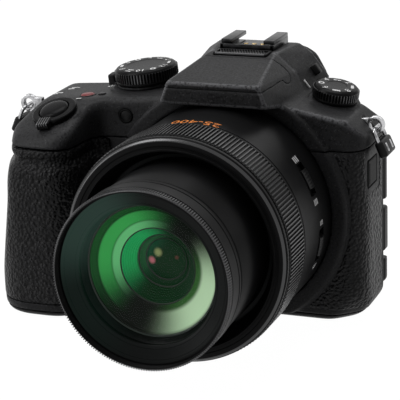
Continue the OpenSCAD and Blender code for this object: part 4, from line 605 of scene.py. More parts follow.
@dataclass
class Shape:
    """Vertices in millimetres with faces and each face's finish number."""

    verts: np.ndarray
    faces: list[Face]
    tags: list[int] = field(default_factory=list)
    edges: np.ndarray | None = None

    def tagged(self, tag: int) -> "Shape":
        """The same shape with one finish number on all faces."""
        return Shape(self.verts, self.faces, [tag] * len(self.faces))

    def __add__(self, other: "Shape") -> "Shape":
        """Both shapes as one."""
        start = len(self.verts)
        faces = self.faces + [tuple(i + start for i in face) for face in other.faces]
        tags = [tag for shape in (self, other) for tag in shape.tags or [0] * len(shape.faces)]
        return Shape(np.vstack([self.verts, other.verts]), faces, tags)

    def on(self, seat: Seat) -> "Shape":
        """The shape moved from a seat's frame to the row frame."""
        return Shape(self.verts @ seat.turn().T + np.array(seat.at), self.faces, self.tags)

    def moved(self, x: float, y: float, z: float) -> "Shape":
        """The shape shifted."""
        return Shape(self.verts + np.array([x, y, z]), self.faces, self.tags)

    def spun(self, angle: float) -> "Shape":
        """The shape turned round its own Z axis by an angle in radians."""
        c, s = math.cos(angle), math.sin(angle)
        turn = np.array([[c, -s, 0], [s, c, 0], [0, 0, 1]])
        return Shape(self.verts @ turn.T, self.faces, self.tags)

    def mesh(self, name: str) -> bpy.types.Mesh:
        """Makes a Blender mesh with faces pointing outwards.

        Args:
            name: Name of the mesh.

        Returns:
            The mesh, in metres.
        """
        mesh = bpy.data.meshes.new(name)
        mesh.from_pydata((self.verts * MM).tolist(), [], self.faces)
        if self.tags:
            mesh.polygons.foreach_set("material_index", self.tags)
        if self.edges is not None:
            bends = mesh.attributes.new("edge", "FLOAT", "POINT")
            bends.data.foreach_set("value", self.edges.astype(np.float32))
        work = bmesh.new()
        work.from_mesh(mesh)
        bmesh.ops.remove_doubles(work, verts=work.verts, dist=1e-7)
        bmesh.ops.recalc_face_normals(work, faces=work.faces)
        work.to_mesh(mesh)
        work.free()
        return mesh


def joined(parts: Sequence[Shape]) -> Shape:
    """All parts as one shape."""
    return sum(parts[1:], parts[0])


def place(name: str, shape: Shape | bpy.types.Mesh, looks: Sequence[Look], body: str = "body",
          nodes: Sequence[str] = (), slot: str = "", crease: float = 38.0) -> None:
    """Puts a finished piece into the scene.

    Args:
        name: The piece's name.
        shape: Its shape, or a finished mesh.
        looks: Its finishes in the order of the faces' numbers.
        body: The CAD body it rides on.
        nodes: The CAD nodes it stands for.
        slot: The record's material slot; not used.
        crease: Angle in degrees past which an edge stays sharp.
    """
    mesh = shape.mesh(name) if isinstance(shape, Shape) else shape
    tags = np.zeros(len(mesh.polygons), np.int32)
    mesh.polygons.foreach_get("material_index", tags)
    mesh.materials.clear()
    for look in looks:
        mesh.materials.append(look.value.material())
    mesh.polygons.foreach_set("material_index", tags)
    mesh.polygons.foreach_set("use_smooth", [True] * len(mesh.polygons))
    mesh.set_sharp_from_angle(angle=math.radians(crease))
    piece = bpy.data.objects.new(name, mesh)
    bpy.context.scene.collection.objects.link(piece)
    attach(piece, body)
    if nodes:
        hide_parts(*nodes)
    LOG.info("%s: %d faces on %s", name, len(mesh.polygons), body)


class Volume:
    """Signed distances on a grid, negative inside, that can be cut, joined and eased."""

    def __init__(self, grid: "Grid", values: np.ndarray) -> None:
        """Keeps the values at the grid's points."""
        self.grid = grid
        self.values = np.broadcast_to(values, grid.shape).astype(np.float32)

    def __or__(self, other: "Volume") -> "Volume":
        """Union."""
        return Volume(self.grid, np.minimum(self.values, other.values))

    def __and__(self, other: "Volume") -> "Volume":
        """What both hold."""
        return Volume(self.grid, np.maximum(self.values, other.values))

    def __sub__(self, other: "Volume") -> "Volume":
        """What is left when other is cut away."""
        return Volume(self.grid, np.maximum(self.values, -other.values))

    def grow(self, by: float) -> "Volume":
        """Offset outwards by a distance."""
        return Volume(self.grid, self.values - np.float32(by))

    def fillet(self, other: "Volume", radius: float) -> "Volume":
        """Union with a fillet where the two meet."""
        first = np.maximum(radius - self.values, 0)
        second = np.maximum(radius - other.values, 0)
        least = np.maximum(radius, np.minimum(self.values, other.values))
        return Volume(self.grid, least - np.hypot(first, second))

    def eased(self, sigma: float) -> "Volume":
        """Rounds edges by smoothing the distances over sigma millimetres."""
        width = sigma / self.grid.step
        reach = max(1, math.ceil(3 * width))
        taps = np.exp(-0.5 * (np.arange(-reach, reach + 1) / width) ** 2)
        taps = (taps / taps.sum()).astype(np.float32)
        values = self.values
        for axis in range(3):
            pads = [(reach, reach) if k == axis else (0, 0) for k in range(3)]
            wide = np.pad(values, pads, mode="reflect", reflect_type="odd")
            count = values.shape[axis]
            values = sum(tap * np.take(wide, range(k, k + count), axis=axis) for k, tap in enumerate(taps))
        return Volume(self.grid, values)

    def shape(self, form: "Volume | None" = None) -> Shape:
        """Closed mesh of the surface, one vertex in each cell that the surface crosses.

        Args:
            form: The whole form of which this is a piece, whose curvature feeds the painted edge highlight.

        Returns:
            The mesh.
        """
        solid = self.values < 0
        cells = tuple(n - 1 for n in solid.shape)
        corners = np.array([(i, j, k) for i in (0, 1) for j in (0, 1) for k in (0, 1)])
        held = np.zeros(cells, np.uint8)
        for i, j, k in corners:
            held += solid[i:i + cells[0], j:j + cells[1], k:k + cells[2]]
        mixed = (held > 0) & (held < 8)
        where = np.argwhere(mixed)
        number = np.full(cells, -1, np.int64)
        number[mixed] = np.arange(len(where))
        ends = where[:, None, :] + corners
        value = self.values[ends[..., 0], ends[..., 1], ends[..., 2]].astype(float)
        total = np.zeros((len(where), 3))
        count = np.zeros((len(where), 1))
        for a in range(8):
            for b in range(a + 1, 8):
                if np.abs(corners[a] - corners[b]).sum() != 1:
                    continue
                cross = (value[:, a] < 0) != (value[:, b] < 0)
                share = value[cross, a] / (value[cross, a] - value[cross, b])
                total[cross] += corners[a] + share[:, None] * (corners[b] - corners[a])
                count[cross] += 1
        spots = where + total / count
        verts = self.grid.start + spots * self.grid.step
        return Shape(verts, self._quads(solid, number), edges=form._bend(spots) if form else None)

    def _sample(self, spots: np.ndarray) -> np.ndarray:
        """Values between grid points, at places counted in steps from the grid's start."""
        last = np.array(self.values.shape) - 2
        low = np.clip(np.floor(spots).astype(int), 0, last)
        share = np.clip(spots - low, 0.0, 1.0)
        total = np.zeros(len(spots))
        for corner in np.ndindex(2, 2, 2):
            weight = np.prod(np.where(np.array(corner) == 1, share, 1 - share), axis=1)
            total += weight * self.values[tuple((low + corner).T)]
        return total

    def _bend(self, spots: np.ndarray) -> np.ndarray:
        """Curvature of the surface over a span of two millimetres.

        Args:
            spots: Places counted in steps from the grid's start.

        Returns:
            The curvature in 1/mm, positive on outer edges.
        """
        reach = 1.0 / self.grid.step
        total = -6 * self._sample(spots)
        for shift in np.vstack([np.eye(3), -np.eye(3)]) * reach:
            total += self._sample(spots + shift)
        return total

    def _quads(self, solid: np.ndarray, number: np.ndarray) -> list[Face]:
        """Faces across each grid edge that the surface crosses.

        Args:
            solid: True at grid points inside.
            number: Vertex number of each cell.

        Returns:
            The faces, pointing outwards.
        """
        faces: list[Face] = []
        for axis in range(3):
            one, two = (axis + 1) % 3, (axis + 2) % 3
            low = np.take(solid, range(solid.shape[axis] - 1), axis=axis)
            high = np.take(solid, range(1, solid.shape[axis]), axis=axis)
            edge = np.argwhere(low != high)
            inner = (edge[:, one] > 0) & (edge[:, two] > 0)
            inner &= (edge[:, one] < solid.shape[one] - 1) & (edge[:, two] < solid.shape[two] - 1)
            edge = edge[inner]
            ring = []
            for back_one, back_two in ((0, 0), (1, 0), (1, 1), (0, 1)):
                cell = edge.copy()
                cell[:, one] -= back_one
                cell[:, two] -= back_two
                ring.append(number[cell[:, 0], cell[:, 1], cell[:, 2]])
            quad = np.stack(ring, axis=1)
            outward = low[edge[:, 0], edge[:, 1], edge[:, 2]]
            quad[~outward] = quad[~outward][:, ::-1]
            faces += [tuple(row) for row in quad.tolist()]
        return faces


def rounded(gaps: Sequence[np.ndarray], radius: float | np.ndarray) -> np.ndarray:
    """Distance to a form with rounded edges.

    Args:
        gaps: Distances past each pair of sides, the sides drawn in by the radius.
        radius: The rounding.

    Returns:
        The distances, negative inside.
    """
    out = np.sqrt(sum(np.maximum(gap, 0) ** 2 for gap in gaps))
    return out + np.minimum(reduce(np.maximum, gaps), 0) - radius


class Grid:
    """Even lattice of points in millimetres on which solid forms are sampled."""

    def __init__(self, low: Sequence[float], high: Sequence[float], step: float) -> None:
        """Spans the box from low to high with a margin, at the given step."""
        self.step = step * COARSE
        margin = 3 * self.step
        axes = [np.arange(a - margin, b + margin + self.step, self.step) for a, b in zip(low, high)]
        self.start = np.array([axis[0] for axis in axes])
        lattice = np.meshgrid(*axes, indexing="ij", sparse=True)
        self.x, self.y, self.z = (axis.astype(np.float32) for axis in lattice)
        self.shape = tuple(len(axis) for axis in axes)

    def local(self, seat: Seat) -> tuple[np.ndarray, ...]:
        """The grid's points in a seat's frame.

        Args:
            seat: The seat.

        Returns:
            Their three coordinates there.
        """
        turn = seat.turn().astype(np.float32)
        dx, dy, dz = (p - np.float32(c) for p, c in zip((self.x, self.y, self.z), seat.at))
        return tuple(turn[0, k] * dx + turn[1, k] * dy + turn[2, k] * dz for k in range(3))

    def plane(self, point: Point, normal: Point) -> Volume:
        """Half space behind a plane through point."""
        n = np.array(normal) / np.linalg.norm(normal)
        value = n[0] * (self.x - point[0]) + n[1] * (self.y - point[1]) + n[2] * (self.z - point[2])
        return Volume(self, value)

    def box(self, low: Sequence[float], high: Sequence[float], radius: float = 0.0,
            seat: Seat | None = None) -> Volume:
        """Box between two corners with rounded edges.

        Args:
            low: Lowest corner.
            high: Highest corner.
            radius: Rounding of the edges.
            seat: Frame of the corners, if not the row frame.

        Returns:
            The box.
        """
        spots = self.local(seat) if seat else (self.x, self.y, self.z)
        gaps = [np.abs(p - (a + b) / 2) - (b - a) / 2 + radius for p, a, b in zip(spots, low, high)]
        return Volume(self, rounded(gaps, radius))

    def rod(self, seat: Seat, radius: float, ends: Pair, ease: float = 0.0) -> Volume:
        """Cylinder on a seat's axis.

        Args:
            seat: The seat.
            radius: Its radius.
            ends: Its two heights.
            ease: Rounding of its rims.

        Returns:
            The cylinder.
        """
        x, y, z = self.local(seat)
        gaps = [np.hypot(x, y) - radius + ease, np.abs(z - sum(ends) / 2) - (ends[1] - ends[0]) / 2 + ease]
        return Volume(self, rounded(gaps, ease))

    def plate(self, x: Pair, y: Pair, radii: tuple[float, float, float, float]) -> Volume:
        """Upright prism on a rectangle.

        Args:
            x: Its sides along X.
            y: Its sides along Y.
            radii: Corner radii: low X low Y, high X low Y, low X high Y, high X high Y.

        Returns:
            The prism, without end in Z.
        """
        px, py = self.x - sum(x) / 2, self.y - sum(y) / 2
        low = np.where(px > 0, radii[1], radii[0])
        high = np.where(px > 0, radii[3], radii[2])
        radius = np.where(py > 0, high, low)
        gaps = [np.abs(px) - (x[1] - x[0]) / 2 + radius, np.abs(py) - (y[1] - y[0]) / 2 + radius]
        return Volume(self, rounded(gaps, radius))

    def plate_xz(self, x: Pair, z: Pair, radius: float) -> Volume:
        """Prism along Y on a rounded rectangle, without end."""
        sides = ((self.x, x), (self.z, z))
        gaps = [np.abs(p - sum(ends) / 2) - (ends[1] - ends[0]) / 2 + radius for p, ends in sides]
        return Volume(self, rounded(gaps, radius))

    def hull(self, points: Sequence[Point]) -> Volume:
        """Convex form round a set of points.

        Args:
            points: The points.

        Returns:
            The form.
        """
        work = bmesh.new()
        for point in points:
            work.verts.new(point)
        bmesh.ops.convex_hull(work, input=work.verts)
        bmesh.ops.recalc_face_normals(work, faces=work.faces)
        planes = {tuple(round(c, 4) for c in (*f.normal, f.verts[0].co.dot(f.normal))): f
                  for f in work.faces}
        value = np.full(self.shape, -1e6, np.float32)
        for nx, ny, nz, reach in planes:
            value = np.maximum(value, nx * self.x + ny * self.y + nz * self.z - reach)
        work.free()
        return Volume(self, value)


def softened(points: Sequence[Pair], radius: float, closed: bool = True, steps: int = 3) -> list[Pair]:
    """Rounds the corners of an outline.

    Args:
        points: The outline's corners.
        radius: How far the rounding reaches along each edge.
        closed: True if the last point joins the first.
        steps: Pieces in each rounding.

    Returns:
        The outline with small arcs for corners.
    """
    result: list[Pair] = []
    last = len(points) - 1
    for k, here in enumerate(points):
        if not closed and k in (0, last):
            result.append(tuple(here))
            continue
        p = np.array(here, float)
        arms = []
        for q in (points[k - 1], points[(k + 1) % len(points)]):
            edge = np.array(q, float) - p
            length = np.linalg.norm(edge)
            arms.append(p + edge / length * min(radius, 0.45 * length))
        for t in np.linspace(0, 1, steps + 1):
            spot = (1 - t) ** 2 * arms[0] + 2 * t * (1 - t) * p + t ** 2 * arms[1]
            result.append((float(spot[0]), float(spot[1])))
    return result


def loops(count: int, steps: int, closed: bool) -> list[Face]:
    """Faces between neighbouring rings of points.

    Args:
        count: Number of rings.
        steps: Points in each ring.
        closed: True if the last ring joins the first.

    Returns:
        The faces, ring by ring.
    """
    faces: list[Face] = []
    for k in range(count if closed else count - 1):
        one, two = k * steps, (k + 1) % count * steps
        faces += [(one + i, one + (i + 1) % steps, two + (i + 1) % steps, two + i) for i in range(steps)]
    return faces


def lathe(profile: Sequence[Pair], steps: int = 128, closed: bool = True, bright: range = range(0),
          dent: Callable[[float, np.ndarray, float], np.ndarray] | None = None) -> Shape:
    """Turns a profile of radius and height round the local Z axis.

    Args:
        profile: Points of radius and height.
        steps: Steps round the axis.
        closed: True if the last point joins the first; otherwise both ends lie on the axis or stay open.
        bright: Stretches of the profile that have the second finish.
        dent: Gives the radii round the axis from a radius, the angles and a height.

    Returns:
        The turned shape.
    """
    angle = np.linspace(0, 2 * math.pi, steps, endpoint=False)
    rings = []
    for radius, height in profile:
        around = dent(radius, angle, height) if dent else np.full(steps, radius)
        rings.append(np.stack([around * np.cos(angle), around * np.sin(angle),
                               np.full(steps, height)], axis=1))
    faces = loops(len(profile), steps, closed)
    return Shape(np.vstack(rings), faces, [int(k // steps in bright) for k in range(len(faces))])


def turned(profile: Sequence[Pair], steps: int, ease: float = 0.0) -> Shape:
    """Turns an open profile whose ends lie on the axis, with corners rounded by ease."""
    outline = softened(profile, ease, closed=False) if ease else profile
    return lathe(outline, steps, closed=False)


def bevelled(low: Sequence[float], high: Sequence[float], radius: float, segments: int = 3) -> Shape:
    """Box with rounded edges.

    Args:
        low: Lowest corner.
        high: Highest corner.
        radius: Width of the rounding.
        segments: Steps in the rounding.

    Returns:
        The box.
    """
    work = bmesh.new()
    bmesh.ops.create_cube(work, size=1.0)
    middle = (np.array(low) + np.array(high)) / 2
    extent = np.array(high) - np.array(low)
    for vert in work.verts:
        vert.co = Vector(middle + np.array(vert.co) * extent)
    bmesh.ops.bevel(work, geom=work.edges[:], offset=radius, segments=segments, profile=0.5, affect="EDGES")
    work.verts.index_update()
    shape = Shape(np.array([v.co for v in work.verts]),
                  [tuple(v.index for v in f.verts) for f in work.faces])
    work.free()
    return shape


def wire_loop(path: np.ndarray, radius: float, sides: int) -> Shape:
    """Round wire along a closed flat path.

    Args:
        path: Points of the path.
        radius: Wire radius.
        sides: Sides of the wire.

    Returns:
        The wire.
    """
    ahead = np.roll(path, -1, axis=0) - np.roll(path, 1, axis=0)
    ahead /= np.linalg.norm(ahead, axis=1)[:, None]
    normal = np.linalg.svd(path - path.mean(axis=0))[2][2]
    side = np.cross(ahead, normal)
    side /= np.linalg.norm(side, axis=1)[:, None]
    up = np.cross(side, ahead)
    turn = np.linspace(0, 2 * math.pi, sides, endpoint=False)
    ring = side[:, None, :] * np.cos(turn)[None, :, None] + up[:, None, :] * np.sin(turn)[None, :, None]
    return Shape((path[:, None, :] + radius * ring).reshape(-1, 3), loops(len(path), sides, True))


def digits(text: str, height: float, thick: float) -> Shape:
    """Plain numbers as a thin plate, centred on the origin, reading along X.

    Args:
        text: The numbers.
        height: Height of a number.
        thick: Thickness of the ink.

    Returns:
        The plate.
    """
    curve = bpy.data.curves.new("numbers", "FONT")
    curve.body = text
    curve.align_x = "CENTER"
    curve.align_y = "CENTER"
    curve.size = height / 0.7
    curve.extrude = thick / 2
    curve.resolution_u = 4
    holder = bpy.data.objects.new("numbers", curve)
    bpy.context.scene.collection.objects.link(holder)
    mesh = bpy.data.meshes.new_from_object(holder.evaluated_get(bpy.context.evaluated_depsgraph_get()))
    shape = Shape(np.array([v.co for v in mesh.vertices]), [tuple(p.vertices) for p in mesh.polygons])
    bpy.data.objects.remove(holder)
    bpy.data.curves.remove(curve)
    bpy.data.meshes.remove(mesh)
    return shape


class Layout(Enum):
    """How copies are set out."""

    RING = "ring"
    ROW = "row"


class Repeat:
    """Geometry Nodes tree that sets out copies of one rib, tooth or slat."""

    def __init__(self, layout: Layout) -> None:
        """Builds the tree for a layout."""
        self.tree = bpy.data.node_groups.new(f"repeat_{layout.value}", "GeometryNodeTree")
        face = self.tree.interface
        face.new_socket("Geometry", in_out="OUTPUT", socket_type="NodeSocketGeometry")
        kinds = {"Count": "NodeSocketInt", "Radius": "NodeSocketFloat", "Sweep": "NodeSocketFloat",
                 "Start": "NodeSocketVector", "Step": "NodeSocketVector", "Copy": "NodeSocketObject",
                 "Finish": "NodeSocketMaterial"}
        sockets = {name: face.new_socket(name, in_out="INPUT", socket_type=kind)
                   for name, kind in kinds.items()}
        self.ids = {name: socket.identifier for name, socket in sockets.items()}
        sizes = self._node("NodeGroupInput").outputs
        index = self._node("GeometryNodeInputIndex").outputs[0]
        if layout is Layout.RING:
            share = self._math("DIVIDE", sizes["Sweep"], sizes["Count"])
            angle = self._math("MULTIPLY", index, share)
            side = self._math("MULTIPLY", sizes["Radius"], self._math("COSINE", angle))
            rise = self._math("MULTIPLY", sizes["Radius"], self._math("SINE", angle))
            spot = self._node("ShaderNodeCombineXYZ", {0: side, 1: rise}).outputs[0]
            turn = self._node("ShaderNodeCombineXYZ", {2: angle}).outputs[0]
        else:
            step = self._node("ShaderNodeVectorMath", {0: sizes["Step"], "Scale": index}, "SCALE")
            spot = self._node("ShaderNodeVectorMath", {0: sizes["Start"], 1: step.outputs[0]}).outputs[0]
            turn = None
        points = self._node("GeometryNodePoints", {"Count": sizes["Count"], "Position": spot})
        copy = self._node("GeometryNodeObjectInfo", {"Object": sizes["Copy"]})
        links = {"Points": points.outputs[0], "Instance": copy.outputs["Geometry"]}
        if turn:
            links["Rotation"] = self._node("FunctionNodeEulerToRotation", {0: turn}).outputs[0]
        spread = self._node("GeometryNodeInstanceOnPoints", links)
        whole = self._node("GeometryNodeRealizeInstances", {0: spread.outputs[0]})
        dressed = self._node("GeometryNodeSetMaterial",
                             {"Geometry": whole.outputs[0], "Material": sizes["Finish"]})
        self._node("NodeGroupOutput", {0: dressed.outputs[0]})

    def _node(self, kind: str, sockets: dict | None = None, operation: str = "") -> bpy.types.Node:
        """Adds a node with its operation and links."""
        node = self.tree.nodes.new(kind)
        if operation:
            node.operation = operation
        for key, source in (sockets or {}).items():
            self.tree.links.new(source, node.inputs[key])
        return node

    def _math(self, operation: str, *sources: bpy.types.NodeSocket) -> bpy.types.NodeSocket:
        """Adds a Math node on sockets."""
        return self._node("ShaderNodeMath", dict(enumerate(sources)), operation).outputs[0]

    def make(self, name: str, copy: Shape, look: Look, seat: Seat | None, **sizes: object) -> bpy.types.Mesh:
        """Runs the tree.

        Args:
            name: Name of the resulting mesh.
            copy: The shape that repeats, in millimetres.
            look: Its finish.
            seat: Frame in which the copies are set out.
            sizes: Named inputs of the tree, lengths in metres.

        Returns:
            All copies as one plain mesh in the row frame.
        """
        model = bpy.data.objects.new("copy", copy.mesh("copy"))
        holder = bpy.data.objects.new(name, bpy.data.meshes.new(name))
        for item in (model, holder):
            bpy.context.scene.collection.objects.link(item)
        modifier = holder.modifiers.new("repeat", "NODES")
        modifier.node_group = self.tree
        for key, value in {"Copy": model, "Finish": look.value.material(), **sizes}.items():
            modifier[self.ids[key]] = value
        holder.update_tag()
        graph = bpy.context.evaluated_depsgraph_get()
        mesh = bpy.data.meshes.new_from_object(holder.evaluated_get(graph))
        holder.modifiers.clear()
        for item in (model, holder):
            bpy.data.objects.remove(item)
        if seat:
            mesh.transform(seat.matrix())
        mesh.name = name
        return mesh

    def ring(self, name: str, copy: Shape, look: Look, seat: Seat, count: int,
             radius: float) -> bpy.types.Mesh:
        """Copies all the way round a seat's axis at a radius in millimetres."""
        return self.make(name, copy, look, seat, Count=count, Radius=radius * MM, Sweep=2 * math.pi)

    def row(self, name: str, copy: Shape, look: Look, seat: Seat | None, count: int, start: Point,
            step: Point) -> bpy.types.Mesh:
        """Copies in a straight row, start and step in millimetres."""
        ends = {"Start": tuple(c * MM for c in start), "Step": tuple(c * MM for c in step)}
        return self.make(name, copy, look, seat, Count=count, **ends)


@dataclass(frozen=True)
class BodyForm:
    """Outer form of the body: plan, leaning sides, decks, plates and hump."""

    left: float = 88.3
    right: float = 52.8
    front: float = 16.0
    rear: float = 18.0
    seam: float = 67.0
    seam_gap: float = 0.12
    split: float = 10.5
    base: float = 3.0
    wall: float = 2.0
    grip_front: float = 42.0
    grip_inner: float = 53.0
    grip_lap: float = 18.0
    grip_outer_r: float = 15.0
    grip_inner_r: float = 11.0
    recess_r: float = 7.0
    corner_front: float = 8.0
    corner_rear: float = 10.0
    corner_side: float = 4.0
    side_top: float = 83.0
    side_lean: float = 7.0
    corner_top: float = 86.6
    corner_turn: float = 24.0
    foot_x: float = 39.0
    foot_lean: float = 28.0
    foot_w: float = 4.5
    foot_side_lean: float = 42.0
    plate_left: Point = (-38.8, 0.0, 82.8)
    plate_right: Point = (35.9, 0.0, 80.6)
    plate_left_tilt: float = 5.0
    plate_right_tilt: float = 11.0
    shoulder_left: Point = (-76.5, 0.0, 79.5)
    shoulder_left_slope: Point = (-11.5, 0.0, 7.5)
    shoulder_right: Point = (46.3, 0.0, 78.6)
    shoulder_right_slope: Point = (7.6, 0.0, 7.5)
    bevel_from: float = 12.6
    bevel_turn: float = 31.0
    rear_edge: Point = (0.0, 10.5, 82.0)
    rear_corner: Point = (26.9, 26.9, 79.8)
    rear_bevel: float = 40.0
    soft_edge: float = 2.2
    plate_edge: float = 0.8
    surround_r: float = 47.0
    surround_t: float = 1.5
    surround_edge: float = 1.3
    throat_r: float = 37.7
    mouth_r: float = 41.3
    brow: tuple[Pair, ...] = ((21.0, 84.6), (17.8, 93.0))
    brow_y: float = -28.5
    crown: tuple[Pair, ...] = ((27.0, 78.6), (20.3, 91.0), (12.8, 97.6))
    crown_y: float = 6.0
    nape: tuple[Pair, ...] = ((23.0, 72.0), (28.0, 85.0), (21.0, 94.2), (16.0, 97.5))
    nape_y: float = 26.0
    hump_edge: float = 0.45
    shutter: Seat = Seat((-64.9, -24.7, 76.8), 9.0, 19.0)
    mode: Seat = Seat((-38.8, 4.3, 83.6), 5.0, 3.0)
    drive: Seat = Seat((35.9, 5.4, 81.4), -11.0, 4.0)
    lamp: Seat = Seat((-40.0, -16.0, 75.4), forward=90.0)

    def plan(self, grid: Grid) -> Volume:
        """Outline of the body seen from above, on grid."""
        deep = 60.0
        corners = (0, self.corner_front, 0, 0)
        body = grid.plate((-self.left + self.grip_lap, self.right), (-self.front, deep), corners)
        corners = (self.grip_outer_r, self.grip_inner_r, 0, 0)
        grip = grid.plate((-self.left, -self.grip_inner), (-self.grip_front, deep), corners)
        corners = (0, 0, self.corner_rear, self.corner_side)
        rear = grid.plate((-self.left, self.right), (-deep, self.rear), corners)
        return body.fillet(grip, self.recess_r) & rear

    def walls(self, grid: Grid) -> Volume:
        """Sides of the body with their leans and the bevelled foot, on grid."""
        lean, turn = math.radians(self.side_lean), math.radians(self.corner_turn)
        foot, side = math.radians(self.foot_lean), math.radians(self.foot_side_lean)
        half = math.radians(45)
        form = self.plan(grid)
        form &= grid.plane((-self.side_top, 0, self.seam), (-math.cos(lean), 0, math.sin(lean)))
        form &= grid.plane((-self.corner_top * math.cos(turn), -self.corner_top * math.sin(turn), self.seam),
                           (-math.cos(lean) * math.cos(turn), -math.cos(lean) * math.sin(turn),
                            math.sin(lean)))
        form &= grid.plane((self.foot_x, -self.front, 0),
                           (math.cos(foot) * math.cos(half), -math.cos(foot) * math.sin(half),
                            -math.sin(foot)))
        form &= grid.plane((self.right - self.foot_w, 0, 0), (math.cos(side), 0, -math.sin(side)))
        return form & grid.plane((0, 0, 0), (0, 0, -1))

    def decks(self, grid: Grid) -> Volume:
        """Half spaces under the shutter deck and the bevel in front of it, on grid."""
        up = self.shutter.turn() @ np.array([0, 0, 1])
        bevel = math.radians(self.bevel_turn)
        edge = self.shutter.turn() @ np.array([0, -self.bevel_from, 0]) + np.array(self.shutter.at)
        slope = self.shutter.turn() @ np.array([0, -math.sin(bevel), math.cos(bevel)])
        return grid.plane(self.shutter.at, tuple(up)) & grid.plane(tuple(edge), tuple(slope))

    def plates(self, grid: Grid) -> Volume:
        """Half spaces under the monitor-side top plate, its shoulder and the rear bevels, on grid."""
        right, back, half = (math.radians(a) for a in (self.plate_right_tilt, self.rear_bevel, 45))
        form = grid.plane(self.plate_right, (math.sin(right), 0, math.cos(right)))
        form &= grid.plane(self.shoulder_right, self.shoulder_right_slope)
        form &= grid.plane(self.rear_edge, (0, math.sin(back), math.cos(back)))
        slope = (math.sin(back) * math.cos(half), math.sin(back) * math.sin(half), math.cos(back))
        return form & grid.plane(self.rear_corner, slope)

    def outer(self, grid: Grid) -> Volume:
        """The whole body without the hump, with soft edges, on grid."""
        left = math.radians(self.plate_left_tilt)
        soft = self.walls(grid) & self.decks(grid) & grid.plane(self.shoulder_left, self.shoulder_left_slope)
        soft &= grid.plane(self.plate_left, (-math.sin(left), 0, math.cos(left)))
        return (soft.eased(self.soft_edge) & self.plates(grid)).eased(self.plate_edge)

    def surround(self, grid: Grid) -> Volume:
        """Disc round the lens, in front of the body, on grid."""
        ends = (self.front - self.surround_t, self.front + self.surround_t)
        return grid.rod(LENS, self.surround_r, ends, self.surround_edge)

    def hump(self, grid: Grid) -> Volume:
        """Finder hump with its brow, on grid."""
        sections = ((self.brow, self.brow_y), (self.crown, self.crown_y), (self.nape, self.nape_y))
        brow, crown, nape = ([(side * x, y, z) for x, z in half for side in (-1, 1)] for half, y in sections)
        return (grid.hull(brow + crown) | grid.hull(crown + nape)).eased(self.hump_edge)


